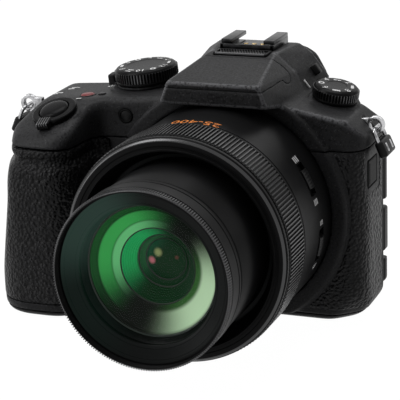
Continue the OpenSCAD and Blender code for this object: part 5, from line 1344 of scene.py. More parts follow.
@dataclass
class BodyShells:
    """Front, rear and base covers with their leatherette."""

    form: BodyForm
    skin_t: float = 1.2
    grip_t: float = 3.2
    grip_wall: float = 4.2
    grip_edge: float = -47.0
    grip_foot: float = 6.2
    side_foot: float = 5.2
    skin_top: float = 66.55
    side_ring: float = 47.5
    groove: float = 0.25
    well_gap: float = 0.25
    well_floor: float = -3.0
    boss_floor: float = -4.6
    bush_r: float = 5.55

    def valley(self, grid: Grid) -> np.ndarray:
        """How far the grip's skin lies behind the body, on grid: a finger valley and a soft bulge."""
        return 1.7 * np.exp(-((grid.z - 62.4) / 2.4) ** 2) - 0.5 * np.exp(-((grid.z - 54) / 6) ** 2)

    def grip_zone(self, grid: Grid, grow: float) -> Volume:
        """Region of the grip's leatherette on grid, made larger by grow."""
        zone = grid.box((-120, -80, self.grip_foot), (self.grip_edge, self.form.split - 1, self.skin_top))
        return zone.eased(1.2).grow(grow)

    def side_zone(self, grid: Grid, grow: float) -> Volume:
        """Region of the leatherette on the monitor side, on grid, made larger by grow."""
        zone = grid.box((24, -80, self.side_foot), (80, self.form.split - 1, self.skin_top)).eased(1.0)
        zone -= grid.rod(LENS, self.side_ring, (-90, 90))
        zone -= grid.box((44, -10, 49.6), (80, 5.2, 80), 1.0)
        return zone.grow(grow)

    def covers(self) -> None:
        """Makes the front cover with the lens surround."""
        form = self.form
        seam = form.seam - form.seam_gap
        grid = Grid((-89, -43, -3), (54, 15, 73), 0.8)
        outer = form.outer(grid)
        cavity = outer.grow(-form.wall) & grid.box((self.grip_edge + 1, -FAR, -9), (FAR, FAR, FAR))
        cavity |= outer.grow(-self.grip_wall)
        cover = outer & grid.box((-FAR, -FAR, form.base + 0.1), (FAR, form.split - 0.05, seam))
        surround = form.surround(grid) & grid.box((-FAR, -FAR, form.base), (FAR, FAR, seam))
        cover = (cover - cavity) | surround
        cover -= grid.rod(LENS, form.throat_r, (0, FAR))
        cover -= grid.rod(LENS, form.mouth_r, (form.front, FAR))
        cover -= self.grip_zone(grid, self.groove) - outer.grow(-self.grip_t)
        cover -= self.side_zone(grid, -1.4) - outer.grow(-self.skin_t)
        cover -= grid.box((51.0, -8.4, 51.6), (80, 2.8, 62.4), 0.4)
        place("front_cover_shell", cover.shape(outer), [Look.PAINT], nodes=["front_cover"], slot="paint")

    def skins(self) -> None:
        """Makes both leatherette skins and the thumb rest."""
        grid = Grid((-89, -43, 0), (-41, 15, 73), 0.7)
        outer = self.form.outer(grid)
        face = Volume(grid, outer.values + self.valley(grid)).grow(0.12)
        skin = (face & self.grip_zone(grid, 0)).eased(0.35) - outer.grow(0.05 - self.grip_t)
        place("grip_leatherette", skin.shape(), [Look.LEATHER], nodes=["grip_rubber"], slot="leatherette")
        grid = Grid((16, -17, 0), (54, 15, 73), 0.6)
        outer = self.form.outer(grid)
        skin = (outer.grow(0.28) & self.side_zone(grid, 0)).eased(0.4) - outer.grow(0.05 - self.skin_t)
        place("side_leatherette", skin.shape(), [Look.LEATHER], nodes=["front_leatherette"],
              slot="leatherette")
        low, high = span("thumb_rest")
        grid = Grid(low, high, 0.4)
        pad = grid.plate_xz((low[0], high[0]), (low[2], high[2]), 5.0)
        dish = grid.box((low[0] + 4, high[1] - 0.7, low[2] + 5),
                        (high[0] - 4, high[1] + 9, high[2] - 5), 0.3)
        pad &= grid.box((-FAR, low[1], 0), (FAR, high[1], FAR))
        pad = (pad - dish.eased(1.2)).eased(0.6) & grid.plane((0, low[1], 0), (0, -1, 0))
        place("thumb_pad", pad.shape(), [Look.LEATHER], nodes=["thumb_rest"], slot="leatherette")

    def rear(self) -> None:
        """Makes the rear cover with the monitor's recess and the wells of the buttons."""
        form = self.form
        grid = Grid((-89, 5, -3), (54, 19, 73), 0.7)
        outer = form.outer(grid)
        low, high = span("lcd_frame")
        pan = grid.box(low - 0.5, (FAR, FAR, high[2] + 0.5), 0.6)
        cavity = outer.grow(-form.wall) - pan.grow(2.0)
        inside = grid.box((-FAR, form.split + 0.05, form.base + 0.1), (FAR, FAR, form.seam - form.seam_gap))
        cover = (outer & inside) - cavity - pan
        for name in ("lock_button", "playback_button", "cursor_pad"):
            low, high = span(name)
            seat = Seat((float(low[0] + high[0]) / 2, form.rear, float(low[2] + high[2]) / 2), forward=-90)
            radius = (high[0] - low[0]) / 2
            cover |= grid.rod(seat, radius + 1.5, (self.boss_floor, -0.1), 0.3) & outer
            cover -= grid.rod(seat, radius + self.well_gap, (self.well_floor, 9))
        place("rear_cover_shell", cover.shape(outer), [Look.PAINT], nodes=["rear_cover"], slot="paint")

    def base(self) -> None:
        """Makes the base plate with its battery opening."""
        form = self.form
        grid = Grid((-89, -43, -0.5), (54, 19, 9), 0.6)
        low, high = span("battery_door")
        plate = form.outer(grid).grow(-0.15) & grid.box((-FAR, -FAR, 0), (FAR, FAR, form.base))
        opening = grid.box((low[0] - 0.3, low[1] - 0.3, -9), (high[0] + 0.3, high[1] + 0.3, 9), 1.5)
        plate -= opening & form.walls(grid).grow(-4.3)
        plate -= grid.rod(Seat((0, 0, 0)), self.bush_r, (-9, 9))
        place("base_shell", plate.shape(), [Look.PLASTIC], nodes=["base_plate"], slot="black_plastic")

    def build(self) -> None:
        """Makes all the covers and skins."""
        self.covers()
        self.skins()
        self.rear()
        self.base()


@dataclass
class TopShell:
    """Top cover with hump, flash lid, shoe and grille."""

    form: BodyForm
    rows: Repeat
    hinge: Seat = Seat((0.0, -3.5, 93.0), left=-90.0)
    knuckle: float = 4.4
    lid_seam: float = 90.7
    lid_gap: float = 0.08
    brow_bottom: float = 84.6
    crown: float = 97.6
    hump_foot: float = 1.6
    lug_x: Pair = (-86.0, 52.0)
    window_ribs: int = 16
    slats: int = 17
    slat_lean: float = 24.0
    rail_in: float = 6.25
    rail_wall: float = 9.35
    rail_out: float = 10.7
    shoe_slot: float = 2.1

    def lid_zone(self, grid: Grid, grow: float) -> Volume:
        """Region of the flash lid on grid, made larger by grow."""
        front = grid.box((-FAR, -FAR, self.lid_seam - grow), (FAR, self.hinge.at[1], SKY))
        return front | grid.rod(self.hinge, self.knuckle + grow, (-FAR, FAR))

    def cover(self) -> None:
        """Makes the top cover."""
        form = self.form
        grid = Grid((-89, -43, 61), (54, 27, 98), 0.6)
        outer = form.outer(grid)
        hump = form.hump(grid)
        away = self.lid_zone(grid, self.lid_gap) | grid.box((-15.2, -26.5, 86.0), (15.2, -6.0, SKY), 0.8)
        body = outer.fillet(hump - away, self.hump_foot) - away
        for seat, radius, top in ((form.mode, 13.6, 0.0), (form.drive, 9.8, 0.0), (form.shutter, 9.6, 0.05)):
            body |= grid.rod(seat, radius, (-4.0, top), 0.35)
        body |= form.surround(grid) & grid.box((-FAR, -FAR, 0), (FAR, FAR, self.brow_bottom))
        body &= grid.box((-FAR, -FAR, form.seam + form.seam_gap), (FAR, FAR, SKY))
        body -= outer.grow(-form.wall)
        body -= grid.rod(LENS, form.throat_r, (2, FAR)) | grid.rod(LENS, form.mouth_r, (form.front, FAR))
        grille = grid.box((-10.7, 1.3, self.crown - 1.2), (10.7, 8.7, SKY), 0.2)
        shoe = grid.box((-11, 9.4, self.crown - 1.4), (11, FAR, SKY), 0.2)
        finder = grid.box((-12, 22, 78), (12, FAR, 90), 1.5)
        dial = grid.box((-63.8, 11.8, 69.6), (-48.2, FAR, 75.4), 0.3)
        body = body - grille - shoe - finder - dial - grid.rod(form.lamp, 2.75, (-2.2, 9))
        for x in self.lug_x:
            body -= grid.box((x - 4, -1.5, 69.7), (x + 4, 1.5, 78.1), 0.4)
        body |= grid.rod(self.hinge, 2.1, (6.4, 9.0)) | grid.rod(self.hinge, 2.1, (-9.0, -6.4))
        edges = outer.fillet(hump, self.hump_foot)
        place("top_cover_shell", body.shape(edges), [Look.PAINT], nodes=["top_cover"], slot="paint")

    def lid(self) -> None:
        """Makes the flash lid with its reflector block and window."""
        grid = Grid((-22, -29, 85), (22, 2, 98), 0.36)
        hump = self.form.hump(grid)
        lid = hump & self.lid_zone(grid, 0)
        lid -= grid.box((-9.8, -6.4, 80), (9.8, FAR, 93))
        lid -= grid.rod(self.hinge, 2.8, (-9.8, 9.8))
        lid |= grid.box((-13.5, -24.4, 86.6), (13.5, -10, 91.4), 0.6)
        lid |= grid.rod(self.hinge, 2.2, (-6, 6)) | grid.box((-6, -7.5, self.lid_seam), (6, -3.5, 94.6))
        lid -= grid.rod(self.hinge, 1.06, (-7, 7))
        place("flash_lid", lid.shape(hump), [Look.PAINT], "flash", ["flash_housing"], "paint")
        low, high = span("flash_window")
        place("flash_pane", bevelled(low, high, 0.25), [Look.FLASH], "flash", ["flash_window"], "window")
        rib = bevelled((-0.35, -0.22, low[2] + 0.3), (0.35, 0.0, high[2] - 0.3), 0.1, 1)
        step = ((high[0] - low[0] - 1.2) / (self.window_ribs - 1), 0.0, 0.0)
        start = (low[0] + 0.6, low[1] + 0.12, 0.0)
        ribs = self.rows.row("flash_pane_ribs", rib, Look.FLASH, None, self.window_ribs, start, step)
        place("flash_pane_ribs", ribs, [Look.FLASH], "flash", slot="window")

    def shoe(self) -> None:
        """Makes the accessory shoe with its rails, spring and contacts."""
        low, high = span("hot_shoe")
        floor = self.crown - 0.4
        top = floor + self.shoe_slot
        shape = bevelled(low, (high[0], high[1], floor), 0.15)
        shape += bevelled((low[0], low[1], floor - 0.1), (high[0], low[1] + 1.2, top), 0.15)
        spring = bevelled((-5.6, low[1] + 1.6, floor - 0.05), (5.6, high[1] - 1.0, floor + 0.25), 0.1)
        for side in (-1, 1):
            wall, lip, leaf = (sorted((side * a, side * b)) for a, b in (
                (self.rail_wall, self.rail_out), (self.rail_in, self.rail_out), (6.0, 9.0)))
            shape += bevelled((wall[0], low[1], floor - 0.1), (wall[1], high[1], top + 0.2), 0.15)
            shape += bevelled((lip[0], low[1] + 1.3, top), (lip[1], high[1], high[2]), 0.35)
            spring += bevelled((leaf[0], low[1] + 1.6, floor - 0.05),
                               (leaf[1], high[1] - 2, floor + 0.5), 0.2)
        place("shoe_rails", shape, [Look.DARK_STEEL], nodes=["hot_shoe"], slot="steel")
        place("shoe_springs", spring, [Look.DARK_STEEL], slot="steel")
        pad = turned([(0.0, 0.0), (1.0, 0.0), (1.0, 0.45), (0.0, 0.6)], 20, 0.15)
        pads = self.rows.row("shoe_contacts", pad, Look.BRASS, None, 3, (-3.4, 18.5, floor + 0.2),
                             (3.4, 0, 0))
        place("shoe_contacts", pads, [Look.BRASS], slot="brass")

    def grille(self) -> None:
        """Makes the microphone grille: a frame with a field of slanted slats."""
        low, high = span("mic_grille")
        top, bar = high[2], 0.8
        edge = bevelled(low, (high[0], high[1], top - 0.6), 0.1)
        edge += bevelled((low[0], high[1] - bar, low[2]), high, 0.15)
        for x in (low[0], high[0] - bar):
            edge += bevelled((x, low[1], low[2]), (x + bar, high[1], top), 0.15)
        sill = bevelled(low, (high[0], low[1] + bar, top), 0.2).tagged(1)
        place("microphone_frame", edge + sill, [Look.PLASTIC, Look.KNURL], nodes=["mic_grille"],
              slot="black_plastic")
        half = (high[1] - low[1] - 1.4) / 2 + 0.25
        slat = bevelled((-0.24, -half, -0.5), (0.24, half, 0.0), 0.06, 1).spun(math.radians(self.slat_lean))
        reach = float(high[0]) - bar - 1.1
        start = (-reach, float(low[1] + high[1]) / 2, float(top) - 0.08)
        step = (2 * reach / (self.slats - 1), 0, 0)
        slats = self.rows.row("microphone_slats", slat, Look.KNURL, None, self.slats, start, step)
        place("microphone_slats", slats, [Look.KNURL], slot="black_plastic")

    def release(self) -> None:
        """Makes the flash release slider and its ridges."""
        seat = Seat((25.2, 18.0, 89.4), left=-54.0)
        slider = bevelled((-2.0, -1.3, -2.0), (2.0, 1.3, 0.75), 0.3).on(seat)
        place("flash_slider", slider, [Look.PLASTIC], "flash_release", ["flash_release"], "black_plastic")
        ridge = bevelled((-0.14, -1.1, -0.1), (0.14, 1.1, 0.12), 0.05, 1)
        ridges = self.rows.row("flash_slider_ridges", ridge, Look.PLASTIC, seat, 6, (-1.5, 0, 0.78),
                               (0.6, 0, 0))
        place("flash_slider_ridges", ridges, [Look.PLASTIC], "flash_release", slot="black_plastic")

    def lamp(self) -> None:
        """Makes the focus lamp with a smoked dome in a thin rim."""
        rim = lathe(softened([(2.1, -1.8), (2.72, -1.8), (2.72, 0.05), (2.35, 0.25), (2.1, 0.0)], 0.12), 48)
        dome = turned([(0.0, 0.3), (0.8, 0.25), (1.5, 0.12), (2.08, -0.1), (2.08, -1.8), (0.0, -1.8)], 48)
        shape = (rim + dome.tagged(1)).on(self.form.lamp)
        place("focus_lamp", shape, [Look.GROOVE, Look.PLASTIC], nodes=["af_lamp"], slot="window")

    def build(self) -> None:
        """Makes the top cover and what stands on it."""
        self.cover()
        self.lid()
        self.shoe()
        self.grille()
        self.release()
        self.lamp()


def rib(wide: float, tall: float, low: float, high: float) -> Shape:
    """One rib along Z that stands out along X, with a narrower crest and sloping ends.

    Args:
        wide: Width of its foot.
        tall: Height of its crest.
        low: Where it starts.
        high: Where it ends.

    Returns:
        The rib.
    """
    foot, crest, slope = wide / 2, wide / 2 * 0.55, tall * 0.5
    verts = []
    for end, top in ((low, low + slope), (high, high - slope * 0.3)):
        verts += [(0.0, -foot, end), (0.0, foot, end), (tall, crest, top), (tall, -crest, top)]
    faces = [(0, 1, 2, 3), (4, 7, 6, 5), (0, 4, 5, 1), (1, 5, 6, 2), (2, 6, 7, 3), (3, 7, 4, 0)]
    return Shape(np.array(verts), faces)


@dataclass
class Lens:
    """Fixed barrel, ribbed control ring, nose, zoom barrel, front ring and glass."""

    rings: Repeat
    barrel_r: float = 40.9
    sleeve_r: float = 37.3
    bore_r: float = 34.0
    barrel_ends: Pair = (8.0, 50.0)
    ring_r: float = 41.9
    ring_ends: Pair = (50.4, 66.5)
    ribs: int = 188
    nose_tip: float = 69.8
    nose_back: float = 60.6
    throat_steps: int = 9
    zoom_r: float = 31.6
    zoom_bore: float = 30.2
    front_r: float = field(default_factory=front_ring_radius)
    front_ends: Pair = (90.0, 101.0)
    front_teeth: int = 216
    thread_r: float = 31.0
    bezel_r: float = 30.4
    bezel_top: float = 98.15
    glass_r: float = 24.8
    glass_front: float = 96.8
    glass_edge: float = 93.2
    glass_t: float = 1.1
    glass_reach: float = 25.6
    dish_r: float = 23.5
    hub_r: float = 13.9
    eye_r: float = 7.55
    cell_back: float = 76.2
    slot_half: float = 2.7
    slot_reach: float = 8.6
    slot_deep: float = 1.4
    knob_reach: float = 5.0
    ink: float = 0.04
    steps: int = 192
    switches: dict[str, Pair] = field(default_factory=lambda: {
        "stabiliser_switch": (31.2, 26.5), "focus_switch": (28.8, -10.0)})

    def slots(self, radius: float, angle: np.ndarray, height: float) -> np.ndarray:
        """Barrel radius with a sunk slot for each switch.

        Args:
            radius: Plain radius at this height.
            angle: Angles round the axis.
            height: Distance along the axis.

        Returns:
            The radius at each angle.
        """
        around = np.full(len(angle), radius)
        if radius < self.barrel_r - 0.2:
            return around
        for along, middle in self.switches.values():
            if abs(height - along) < self.slot_half:
                away = np.abs((np.degrees(angle) - middle + 180) % 360 - 180)
                around[away < self.slot_reach] = self.barrel_r - self.slot_deep
        return around

    def barrel(self) -> None:
        """Makes the fixed barrel with switch slots, and the flange behind it."""
        r, (start, end), lip = self.barrel_r, self.barrel_ends, 0.01
        edges = sorted(along + side * (self.slot_half + past) for along, _ in self.switches.values()
                       for side in (-1, 1) for past in (-lip, lip))
        outer = [(self.sleeve_r, start), (self.sleeve_r, 16.6), (r - 0.3, 16.6), (r, 17.0)]
        outer += [(r, s) for s in edges]
        outer += [(r, 47.6), (r - 0.35, 47.75), (r - 0.35, 48.25), (r, 48.4), (r, 49.6), (r - 0.4, end)]
        inner = [(40.1, end), (40.1, 66.6), (36.4, 66.6), (36.4, 60.0), (self.bore_r, 60.0),
                 (self.bore_r, start)]
        tube = lathe(outer + inner, 720, dent=self.slots).on(LENS)
        place("lens_barrel_tube", tube, [Look.BARREL], nodes=["lens_barrel"], slot="black_plastic",
              crease=30.0)
        flange = [(self.bore_r, 3.0), (38.4, 3.0), (38.4, start), (self.bore_r, start)]
        place("lens_flange", lathe(softened(flange, 0.2)).on(LENS), [Look.PLASTIC], slot="black_plastic")

    def scale(self) -> None:
        """Prints plain numbers on the top of the barrel."""
        number = digits("25-400", 4.1, self.ink)
        wide = 18.6 / (number.verts[:, 0].max() - number.verts[:, 0].min())
        angle = math.radians(89.5) + number.verts[:, 0] * wide / self.barrel_r
        reach = self.barrel_r + number.verts[:, 2] + self.ink / 2
        bent = np.stack([reach * np.cos(angle), reach * np.sin(angle), 45.6 + number.verts[:, 1]], axis=1)
        place("focal_scale", Shape(bent, number.faces).on(LENS), [Look.ORANGE], slot="black_plastic")

    def mark(self, name: str, angle: float, along: float, wide: float, deep: float) -> None:
        """Puts a small white print of three bars on the barrel.

        Args:
            name: Name of the piece.
            angle: Middle of the print round the axis, in degrees.
            along: Middle along the axis.
            wide: Width round the barrel.
            deep: Length along the axis.
        """
        pitch = deep / 3
        bar = bevelled((-0.05, -wide / 2, -pitch * 0.3), (0.05, wide / 2, pitch * 0.3), 0.02, 1)
        bars = joined([bar.moved(self.barrel_r, 0.0, along + pitch * k) for k in (-1, 0, 1)])
        place(name, bars.spun(math.radians(angle)).on(LENS), [Look.WHITE], slot="black_plastic")

    def switch(self) -> None:
        """Makes the two barrel switches with ridges, and their marks."""
        low, high, count = self.barrel_r - 1.3, self.barrel_r + 0.45, 25
        section = ((low, -2.3), (high, -2.3), (high + 0.4, -1.6), (high + 0.4, 1.6), (high, 2.3), (low, 2.3))
        ridged = np.where(np.arange(count) % 4 < 2, 0.0, -0.28)
        faces = [(k * count + i, k * count + i + 1, (k + 1) % 6 * count + i + 1, (k + 1) % 6 * count + i)
                 for k in range(6) for i in range(count - 1)]
        faces += [tuple(k * count + end for k in range(6)) for end in (0, count - 1)]
        for name, (along, middle) in self.switches.items():
            turn = np.radians(np.linspace(middle - self.knob_reach, middle + self.knob_reach, count))
            rows = []
            for radius, shift in section:
                reach = radius + (ridged if radius > high else 0.0)
                rows.append(np.stack([reach * np.cos(turn), reach * np.sin(turn),
                                      np.full(count, along + shift)], axis=1))
            knob = Shape(np.vstack(rows), faces).on(LENS)
            place(f"{name}_knob", knob, [Look.PLASTIC], name, [name], "black_plastic")
        self.mark("stabiliser_mark", 38.0, 31.2, 2.4, 4.2)
        self.mark("stabiliser_index", 14.0, 31.2, 2.2, 4.0)
        self.mark("focus_mark_upper", 2.0, 28.8, 1.8, 3.4)
        self.mark("focus_mark_lower", -22.0, 28.8, 2.0, 3.4)

    def ring(self) -> None:
        """Makes the control ring and its ribs."""
        start, end = self.ring_ends
        base, seat_r = self.ring_r - 0.6, self.ring_r - 1.7
        profile = [(seat_r, start), (base, start), (base + 0.35, start + 0.3), (base + 0.35, start + 1.0),
                   (base, start + 1.2), (base, end - 0.9), (base + 0.2, end - 0.7), (base + 0.2, end),
                   (seat_r, end)]
        hoop = lathe(softened(profile, 0.15, steps=2), self.steps).on(LENS)
        place("control_ring_base", hoop, [Look.BARREL], "control_ring", ["control_ring"], "black_metal")
        pitch = 2 * math.pi * self.ring_r / self.ribs
        one = rib(pitch * 0.58, 0.7, start + 1.15, end - 0.35)
        ribs = self.rings.ring("control_ring_ribs", one, Look.RIB, LENS, self.ribs, self.ring_r - 0.7)
        place("control_ring_ribs", ribs, [Look.RIB], "control_ring", slot="black_metal")

    def nose(self) -> None:
        """Makes the nose ring: a bright front edge and fine steps in its throat."""
        tip, back, count = self.nose_tip, self.nose_back, self.throat_steps
        outer = [(36.35, back), (36.35, 66.9), (41.2, 66.9), (41.4, 67.2), (41.4, 68.5), (40.9, 69.1)]
        face = [(40.35, 69.65), (40.0, tip), (38.4, tip), (38.2, tip - 0.25), (37.2, tip - 0.25),
                (37.0, tip),
                (36.5, tip)]
        throat = []
        for k in range(count + 1):
            r, s = 36.3 - 2.9 * k / count, tip - 0.3 - 8.0 * k / count
            throat += [(r, s), (r - 0.12, s - 0.1), (r - 0.12, s - 0.55)]
        bright = range(len(outer) - 1, len(outer) + 1)
        nose = lathe(outer + face + throat + [(33.2, back)], self.steps, bright=bright).on(LENS)
        place("nose_ring", nose, [Look.BARREL, Look.EDGE], nodes=["barrel_nose"], slot="black_metal",
              crease=25.0)

    def zoom(self) -> None:
        """Makes the sliding zoom barrel."""
        r, bore = self.zoom_r, self.zoom_bore
        outer = [(bore, 26.0), (r, 26.0), (r, 87.6), (r - 0.3, 87.8), (r - 0.3, 88.4), (r, 88.6), (r, 89.7),
                 (r - 0.2, 89.95), (30.9, 89.95), (30.9, 94.5), (bore, 94.5), (bore, 82.0), (27.5, 82.0),
                 (27.5, 80.0), (bore, 80.0)]
        tube = lathe(softened(outer, 0.1, steps=1), self.steps).on(LENS)
        place("zoom_tube", tube, [Look.BARREL], "zoom_group", ["zoom_barrel"], "black_metal", 30.0)

    def front(self) -> None:
        """Makes the front ring with its knurled lip, thread and bright rim."""
        r, seat_r, thread_r = self.front_r, 30.95, self.thread_r
        start, end = self.front_ends
        outer = [(seat_r, start), (r - 0.2, start), (r, start + 0.3), (r, start + 1.5),
                 (r - 0.25, start + 1.7),
                 (r - 0.25, start + 2.1), (r, start + 2.3), (r, end - 3.1), (r - 0.3, end - 2.9),
                 (r - 0.3, end - 0.8)]
        inner = [(r - 0.45, end - 0.45), (r - 0.75, end - 0.1), (r - 0.95, end), (thread_r, end)]
        for k in range(4):
            s = end - 0.35 - 0.7 * k
            inner += [(thread_r, s), (thread_r + 0.18, s - 0.25), (thread_r, s - 0.5)]
        inner += [(thread_r, 98.2), (self.bezel_r, 98.2), (self.bezel_r, 94.6), (seat_r, 94.6)]
        bright = range(len(outer) - 1, len(outer) + 1)
        hoop = lathe(outer + inner, self.steps, bright=bright).on(LENS)
        place("front_ring", hoop, [Look.BARREL, Look.RIB], "zoom_group", ["filter_ring"],
              "black_metal", 25.0)
        tooth = rib(0.55, 0.75, end - 2.85, end - 0.15)
        teeth = self.rings.ring("front_ring_knurl", tooth, Look.KNURL, LENS, self.front_teeth, r - 0.78)
        place("front_ring_knurl", teeth, [Look.KNURL], "zoom_group", slot="black_metal")

    def bezel(self) -> None:
        """Makes the bare bezel ring round the glass, with fine steps."""
        inner, outer, foot, count = self.glass_r, self.bezel_r, 95.5, 4
        face = [(inner, 94.4), (inner, 95.3), (inner + 0.2, 95.55)]
        for k in range(1, count + 1):
            share = k / (count + 1)
            r, s = inner + share * (outer - inner), foot + share * (self.bezel_top - foot)
            face += [(r - 0.06, s), (r, s - 0.12), (r + 0.06, s + 0.03)] if k in (1, count) else [(r, s)]
        face += [(outer - 0.2, 98.1), (outer, self.bezel_top), (outer, foot)]
        hoop = lathe(face, 160).on(LENS)
        place("bezel_ring", hoop, [Look.BEZEL_GLEAM], "zoom_group", ["name_ring"], "black_metal", 20.0)

    def dome(self, top: float) -> list[Pair]:
        """Points of a glass face from its middle to its edge.

        Args:
            top: Where its middle lies along the axis.

        Returns:
            The points.
        """
        sag = self.glass_front - self.glass_edge
        ball = (self.glass_r ** 2 + sag ** 2) / (2 * sag)
        radii = np.linspace(0, self.glass_reach, 24)
        return [(float(r), top - ball + math.sqrt(ball ** 2 - r ** 2)) for r in radii]

    def glass(self) -> None:
        """Makes the domed front glass, its cell and the coated dish behind it."""
        faces = self.dome(self.glass_front) + self.dome(self.glass_front - self.glass_t)[::-1]
        place("front_glass", turned(faces, 128).on(LENS), [Look.GLASS], "zoom_group", ["front_lens"],
              "lens_glass", 60.0)
        cell = lathe(softened([(23.6, 90.2), (25.4, 92.6), (29.9, 92.6), (29.9, 84.4), (23.6, 84.4)], 0.2))
        line = lathe(softened([(23.1, 89.8), (23.75, 90.15), (23.75, 90.5), (23.1, 90.2)], 0.1)).tagged(1)
        place("rim_cell", (cell + line).on(LENS), [Look.BEZEL_GLEAM, Look.BEAD], "zoom_group", ["zoom_barrel"],
              "black_plastic")
        rim, hub = self.dish_r, self.hub_r
        cup = [(rim, 89.9)] + [(hub + 9.6 * t, 85.0 + 4.9 * t ** 1.7) for t in np.linspace(0.96, 0.0, 20)]
        dish = lathe(cup + [(hub, 84.2), (rim, 84.2)], 160).on(LENS)
        place("coated_element", dish, [Look.COATING_REFLECTIONS], "zoom_group", ["front_lens"], "lens_glass")

    def cells(self) -> None:
        """Makes the stepped inner cells with their beads, and the last element."""
        back, count = self.cell_back, 7
        steps = [(13.7, 84.8)]
        for k in range(count):
            r, s = 13.6 - 3.9 * k / count, 84.6 - 5.4 * k / count
            steps += [(r, s), (r - 0.3, s - 0.1)]
        well = lathe(steps + [(9.6, 79.0), (9.6, 78.4), (13.7, 78.4)], 96).tagged(1)
        neck = [(9.65, 78.7), (8.9, 77.6), (8.0, 77.1), (7.6, 77.0), (7.6, back), (9.65, back)]
        first = lathe(softened([(13.55, 84.7), (13.95, 84.9), (13.95, 85.2), (13.55, 85.1)], 0.08), 96)
        second = lathe(softened([(9.3, 78.8), (9.75, 79.0), (9.75, 79.25), (9.3, 79.1)], 0.06), 96)
        third = lathe(softened([(7.3, 76.9), (7.7, 77.05), (7.7, 77.3), (7.3, 77.15)], 0.06), 96)
        inner = joined([first, well, second, lathe(neck, 96).tagged(1), third]).on(LENS)
        place("inner_cells", inner, [Look.BEAD, Look.INNER_REFLECTIONS], "zoom_group", ["front_lens"], "black_plastic")
        eye = [(float(r), 77.6 - r ** 2 / 60) for r in np.linspace(0, self.eye_r, 18)]
        eye += [(self.eye_r, back), (0.0, back)]
        place("inner_eye", turned(eye, 96).on(LENS), [Look.INNER_REFLECTIONS], "zoom_group", ["front_lens"],
              "lens_glass")

    def build(self) -> None:
        """Makes the lens from back to front."""
        self.barrel()
        self.scale()
        self.switch()
        self.ring()
        self.nose()
        self.zoom()
        self.front()
        self.bezel()
        self.glass()
        self.cells()


@dataclass(frozen=True)
class Dial:
    """A knurled dial with printed marks on its top."""

    node: str
    seat: Seat
    radius: float
    low: float
    high: float
    teeth: int
    marks: int

    def build(self, rings: Repeat) -> None:
        """Makes the dial, its knurl and its marks.

        Args:
            rings: The tree for rings.
        """
        r, low, top, waist = self.radius, self.low, self.high, self.radius - 0.45
        profile = [(0.0, top - 0.12), (r - 5.2, top - 0.12), (r - 4.9, top), (r - 2.0, top),
                   (r - 0.9, top - 0.4),
                   (r - 0.25, top - 1.3), (waist, top - 1.6), (waist, low + 1.0), (r - 0.3, low + 0.8),
                   (r - 0.3, low), (0.0, low)]
        stem = turned([(0.0, low - 1.5), (2.4, low - 1.5), (2.4, low + 0.1), (0.0, low + 0.1)], 48)
        cap = (turned(profile, 128, 0.3) + stem).on(self.seat)
        place(f"{self.node}_cap", cap, [Look.SATIN], self.node, [self.node], "satin_black", 30.0)
        tooth = rib(2 * math.pi * r / self.teeth * 0.5, 0.55, low + 1.0, top - 1.15)
        teeth = rings.ring(f"{self.node}_knurl", tooth, Look.KNURL, self.seat, self.teeth, waist - 0.1)
        place(f"{self.node}_knurl", teeth, [Look.KNURL], self.node, slot="satin_black")
        prints = []
        for k in range(self.marks):
            angle = 2 * math.pi * (k + 0.35) / self.marks
            flat = digits(str(k + 1), 2.5, 0.05) if k % 2 else self.sign(k)
            spot = ((r - 3.0) * math.cos(angle), (r - 3.0) * math.sin(angle), top + 0.01)
            prints.append(flat.spun(angle - math.pi / 2).moved(*spot))
        place(f"{self.node}_marks", joined(prints).on(self.seat), [Look.WHITE], self.node,
              slot="satin_black")

    @staticmethod
    def sign(kind: int) -> Shape:
        """A plain sign.

        Args:
            kind: A number that picks a bar, a frame or a dot.

        Returns:
            The sign, flat on the origin.
        """
        if kind % 3 == 0:
            return bevelled((-1.5, -0.55, -0.02), (1.5, 0.55, 0.03), 0.01, 1)
        if kind % 3 == 1:
            return lathe([(0.6, -0.02), (1.2, -0.02), (1.2, 0.03), (0.6, 0.03)], 24)
        return joined([bevelled((-1.4, y, -0.02), (1.4, y + 0.6, 0.03), 0.01, 1) for y in (-1.2, 0.6)])


@dataclass(frozen=True)
class Wheel:
    """A small knurled wheel on the back."""

    node: str
    body: str
    seat: Seat
    radius: float
    low: float
    high: float
    teeth: int
    stem: float = 0.0

    def build(self, rings: Repeat) -> None:
        """Makes the wheel and its knurl.

        Args:
            rings: The tree for rings.
        """
        low, high, waist = self.low, self.high, self.radius - 0.35
        profile = [(0.0, high), (waist - 0.8, high), (waist, high - 0.5), (waist, low + 0.5),
                   (waist - 0.8, low),
                   (1.2, low), (1.2, low - self.stem), (0.0, low - self.stem)]
        wheel = turned(profile, 80).on(self.seat)
        place(f"{self.node}_wheel", wheel, [Look.SATIN], self.body, [self.node], "satin_black", 35.0)
        tooth = rib(2 * math.pi * self.radius / self.teeth * 0.6, 0.38, low + 0.5, high - 0.5)
        knurl = rings.ring(f"{self.node}_knurl", tooth, Look.SATIN, self.seat, self.teeth, waist - 0.03)
        place(f"{self.node}_knurl", knurl, [Look.SATIN], self.body, slot="satin_black")


@dataclass(frozen=True)
class Button:
    """A small domed button with a stem."""

    node: str
    body: str
    seat: Seat
    radius: float
    look: Look = Look.SATIN
    slot: str = "satin_black"
    tall: float = 0.5

    def build(self) -> None:
        """Makes the button."""
        r, top = self.radius, self.tall
        profile = [(0.0, top), (r * 0.55, top - 0.04), (r * 0.85, top - 0.16), (r, top - 0.45), (r, -0.95),
                   (1.0, -0.95), (1.0, -1.9), (0.0, -1.9)]
        cap = turned(profile, 48).on(self.seat)
        place(f"{self.node}_cap", cap, [self.look], self.body, [self.node], self.slot, 45.0)


